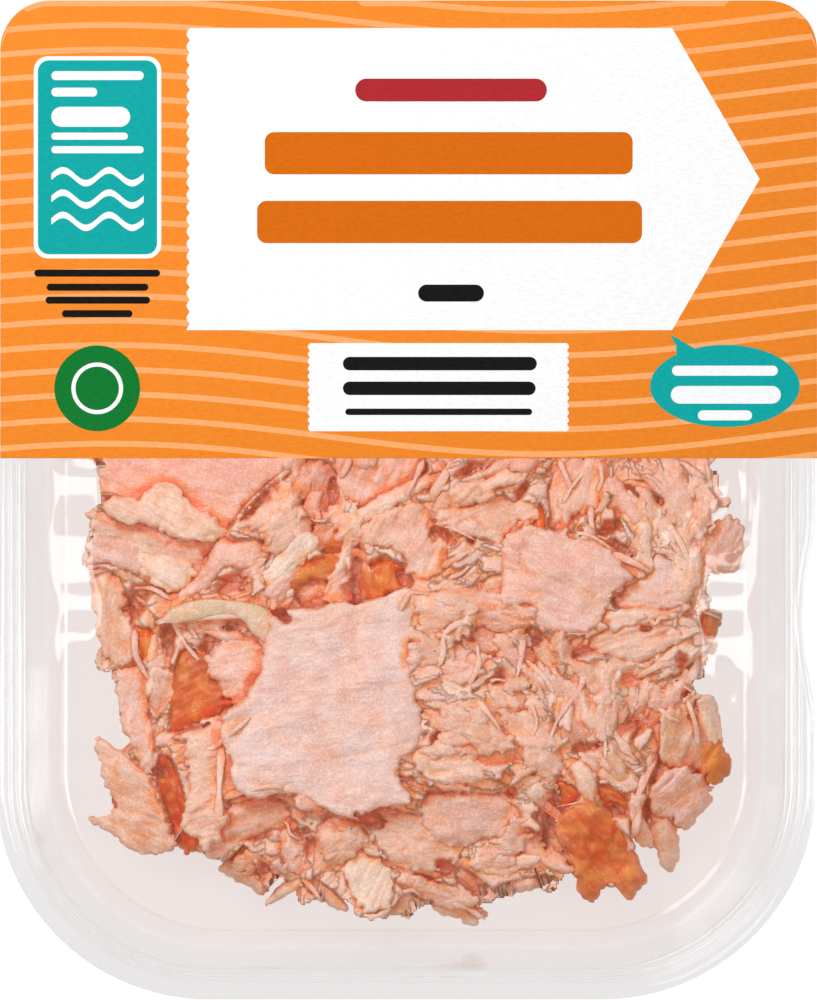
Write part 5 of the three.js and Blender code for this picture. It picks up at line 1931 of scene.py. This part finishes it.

# %% [markdown]
# ## Painted shade by depth
# Shade and highlights are painted into the colours here. Gaps are painted orange to red-brown, and raised
# edges pale, partly because they dry first and partly as a painted highlight. Once everything lies in its
# place, the highest point over each cell of a grid is noted. How far a point lies below the surface around it
# says how much painted shade deepens its colour and how much painted glow it gets. Steep sides are painted
# warmer as well and given a glow, in place of the light that passes through thin flesh.

# %% Paint shade into the gaps and highlights on the raised edges
SHADE_WIDTH, SHADE_LENGTH, SHADE_CELL = 126, 152, 0.3
COLOUR_DRIFT = np.array([0.05, 0.16, 0.22])


def highest_around(values):
    """Each cell takes the highest of itself and its neighbours."""
    for axis in (0, 1):
        values = np.maximum(values, np.maximum(np.roll(values, 1, axis), np.roll(values, -1, axis)))
    return values


def shade_field(values, cells):
    return Field(FIELD_LEFT, FIELD_LOW, SHADE_CELL, blurred(values, cells))


def settle_colours(baskets):
    """Paints shade into the colours of all baskets by how deep each point lies, and adds its painted glow."""
    points = np.concatenate([points for basket in baskets for points in basket.points])
    top = np.full((int(SHADE_WIDTH / SHADE_CELL), int(SHADE_LENGTH / SHADE_CELL)), LOWEST)
    cells = ((points[:, :2] - [FIELD_LEFT, FIELD_LOW]) / SHADE_CELL).astype(int)
    np.maximum.at(top, tuple(cells.T), points[:, 2])
    top = highest_around(top)
    rim = shade_field(highest_around(highest_around(top)), 1)
    near, wide = shade_field(top, 4), shade_field(top, 9)
    covered = shade_field((top > LOWEST + 1).astype(float), 7)
    for basket in baskets:
        is_smoked = basket is smoked_pieces
        for order, (points, colour) in enumerate(zip(basket.points, basket.colours)):
            x, y, z = points.T
            below_near, below_wide = near.at(x, y) - z, wide.at(x, y) - z
            within = smooth_step(0.55, 0.95, covered.at(x, y))
            # Painted shade: creases, contact lines below a neighbour's rim, and deep gaps.
            crease = (within * smooth_step(0.0, 1.3, below_near))[:, None]
            contact = (within * smooth_step(0.3, 1.5, rim.at(x, y) - z))[:, None]
            deep = (within * smooth_step(0.6, 3.4, below_wide))[:, None] * (0.5 if is_smoked else 1.0)
            drift = rough(x / 8.0, y / 8.0, z / 8.0, 901, 3)[:, None] * COLOUR_DRIFT
            if not is_smoked:
                mauve = 0.4 * smooth_step(0.15, 0.6, rough(x / 7.0, y / 7.0, z / 7.0, 903, 3))[:, None]
                colour = colour * (1 - mauve) + SHADES["mauve"] * mauve
            colour = colour * (1 + drift) * CREASE_PAINTED_SHADE**crease * CONTACT_PAINTED_SHADE**contact * GAP_PAINTED_SHADE**deep
            # Raised points are paler: partly drier flesh, partly a painted highlight.
            if not is_smoked:
                raised = (0.35 * smooth_step(0.1, 1.2, -below_near))[:, None]
                colour = colour * (1 - raised) + SHADES["pale"] * raised
            # Painted glow in deep gaps and contact lines, though the flesh is no lamp.
            glow = np.maximum(deep, 0.75 * contact) * smooth_step(6.5, 4.0, below_wide)[:, None]
            basket.colours[order] = np.column_stack([np.clip(colour, 0, 1), glow])


settle_colours([mass_basket, back_basket, shown, middling, strands, hidden, smoked_pieces])
print("colours settled")

# %% Pour the baskets into pieces
STEEP_PAINTED_SHADE = np.array([1.0, 0.80, 0.62])
STEEP_PAINTED_GLOW = 0.9


def pour(basket, name):
    """The basket's shapes as one object, with its colours and fibre places as attributes."""
    piece = basket.poured(name)
    colour = np.concatenate(basket.colours).astype(np.float32)
    normals = np.empty(len(colour) * 3, np.float32)
    piece.data.vertex_normals.foreach_get("vector", normals)
    # Steep sides get a painted warm shade and a painted glow, in place of light through thin flesh.
    steep = smooth_step(0.65, 0.2, np.abs(normals[2::3]))[:, None]
    colour[:, :3] *= STEEP_PAINTED_SHADE**steep
    colour[:, 3:] = np.maximum(colour[:, 3:], STEEP_PAINTED_GLOW * steep)
    paint = piece.data.attributes.new("flesh_colour_and_painted_shade", "FLOAT_COLOR", "POINT")
    paint.data.foreach_set("color", colour.ravel())
    grain = piece.data.attributes.new("fibre_place", "FLOAT_VECTOR", "POINT")
    grain.data.foreach_set("vector", np.concatenate(basket.fibres).astype(np.float32).ravel())
    print(f"{name}: {basket.triangles()} triangles")
    return piece


for name, basket, finish in (
    ("salmon_mass", mass_basket, flesh),
    ("salmon_mass_back", back_basket, flesh),
    ("salmon_shown_flakes", shown, flesh),
    ("salmon_middling_flakes", middling, flesh),
    ("salmon_strands", strands, flesh),
    ("salmon_hidden_flakes", hidden, flesh),
    ("salmon_smoked_pieces", smoked_pieces, smoked),
):
    dress(pour(basket, name), finish, "salmon_flakes")


# %% [markdown]
# ## Light and floor
# A pack shot has soft light from all round and a white ground. The world gives the even light. A large lamp
# at the upper left gives the flakes their shadows and moist highlights. Two narrow lamps at the sides are
# there for the film, which mirrors them as white streaks. The floor glows evenly and so stays white under
# the pack.

# %% Light and floor
WORLD_STRENGTH = 0.39
LAMPS = {
    "key_left": ((-0.30, 0.40, 0.62), (0.4, 0.4), 3.95),
    "fill_right": ((0.31, -0.05, 0.62), (0.08, 0.4), 1.0),
    "fill_left": ((-0.31, -0.05, 0.62), (0.07, 0.4), 0.85),
}
LAMP_AIM = Vector((0, 0, 0.01))
FLOOR_REACH, FLOOR_DROP = 3, 0.0002
FLOOR_COLOUR, FLOOR_GLOW, FLOOR_GLOW_STRENGTH = (0.06, 0.06, 0.06, 1), (1.0, 0.99, 0.985, 1), 0.985

world = bpy.data.worlds.new("studio")
bpy.context.scene.world = world
world.use_nodes = True
world.node_tree.nodes["Background"].inputs["Color"].default_value = (1, 1, 1, 1)
world.node_tree.nodes["Background"].inputs["Strength"].default_value = WORLD_STRENGTH

for name, (place, size, watts) in LAMPS.items():
    lamp = bpy.data.lights.new(name, "AREA")
    lamp.shape = "RECTANGLE"
    lamp.size, lamp.size_y = size
    lamp.energy = watts
    holder = bpy.data.objects.new(name, lamp)
    holder.location = place
    holder.rotation_euler = (LAMP_AIM - Vector(place)).to_track_quat("-Z", "Y").to_euler()
    bpy.context.scene.collection.objects.link(holder)

floor_corners = [(x * FLOOR_REACH, y * FLOOR_REACH, 0) for x, y in ((-1, -1), (1, -1), (1, 1), (-1, 1))]
floor_mesh = bpy.data.meshes.new("floor")
floor_mesh.from_pydata(floor_corners, [], [(0, 1, 2, 3)])
floor = bpy.data.objects.new("floor", floor_mesh)
floor.location.z = -FLOOR_DROP
bpy.context.scene.collection.objects.link(floor)
floor_finish = Finish("pale_floor")
floor_finish.put(floor_finish.shader, Base_Color=FLOOR_COLOUR, Roughness=0.9)
floor_finish.put(floor_finish.shader, Emission_Color=FLOOR_GLOW, Emission_Strength=FLOOR_GLOW_STRENGTH)
floor_mesh.materials.append(floor_finish.material)
floor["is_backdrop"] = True

bpy.context.scene.view_settings.view_transform = "Standard"
print("lamps:", ", ".join(LAMPS))

# %% [markdown]
# ## Sizes and the end
# The last cell measures the box round every piece that renders, leaving out the floor.

low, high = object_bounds()
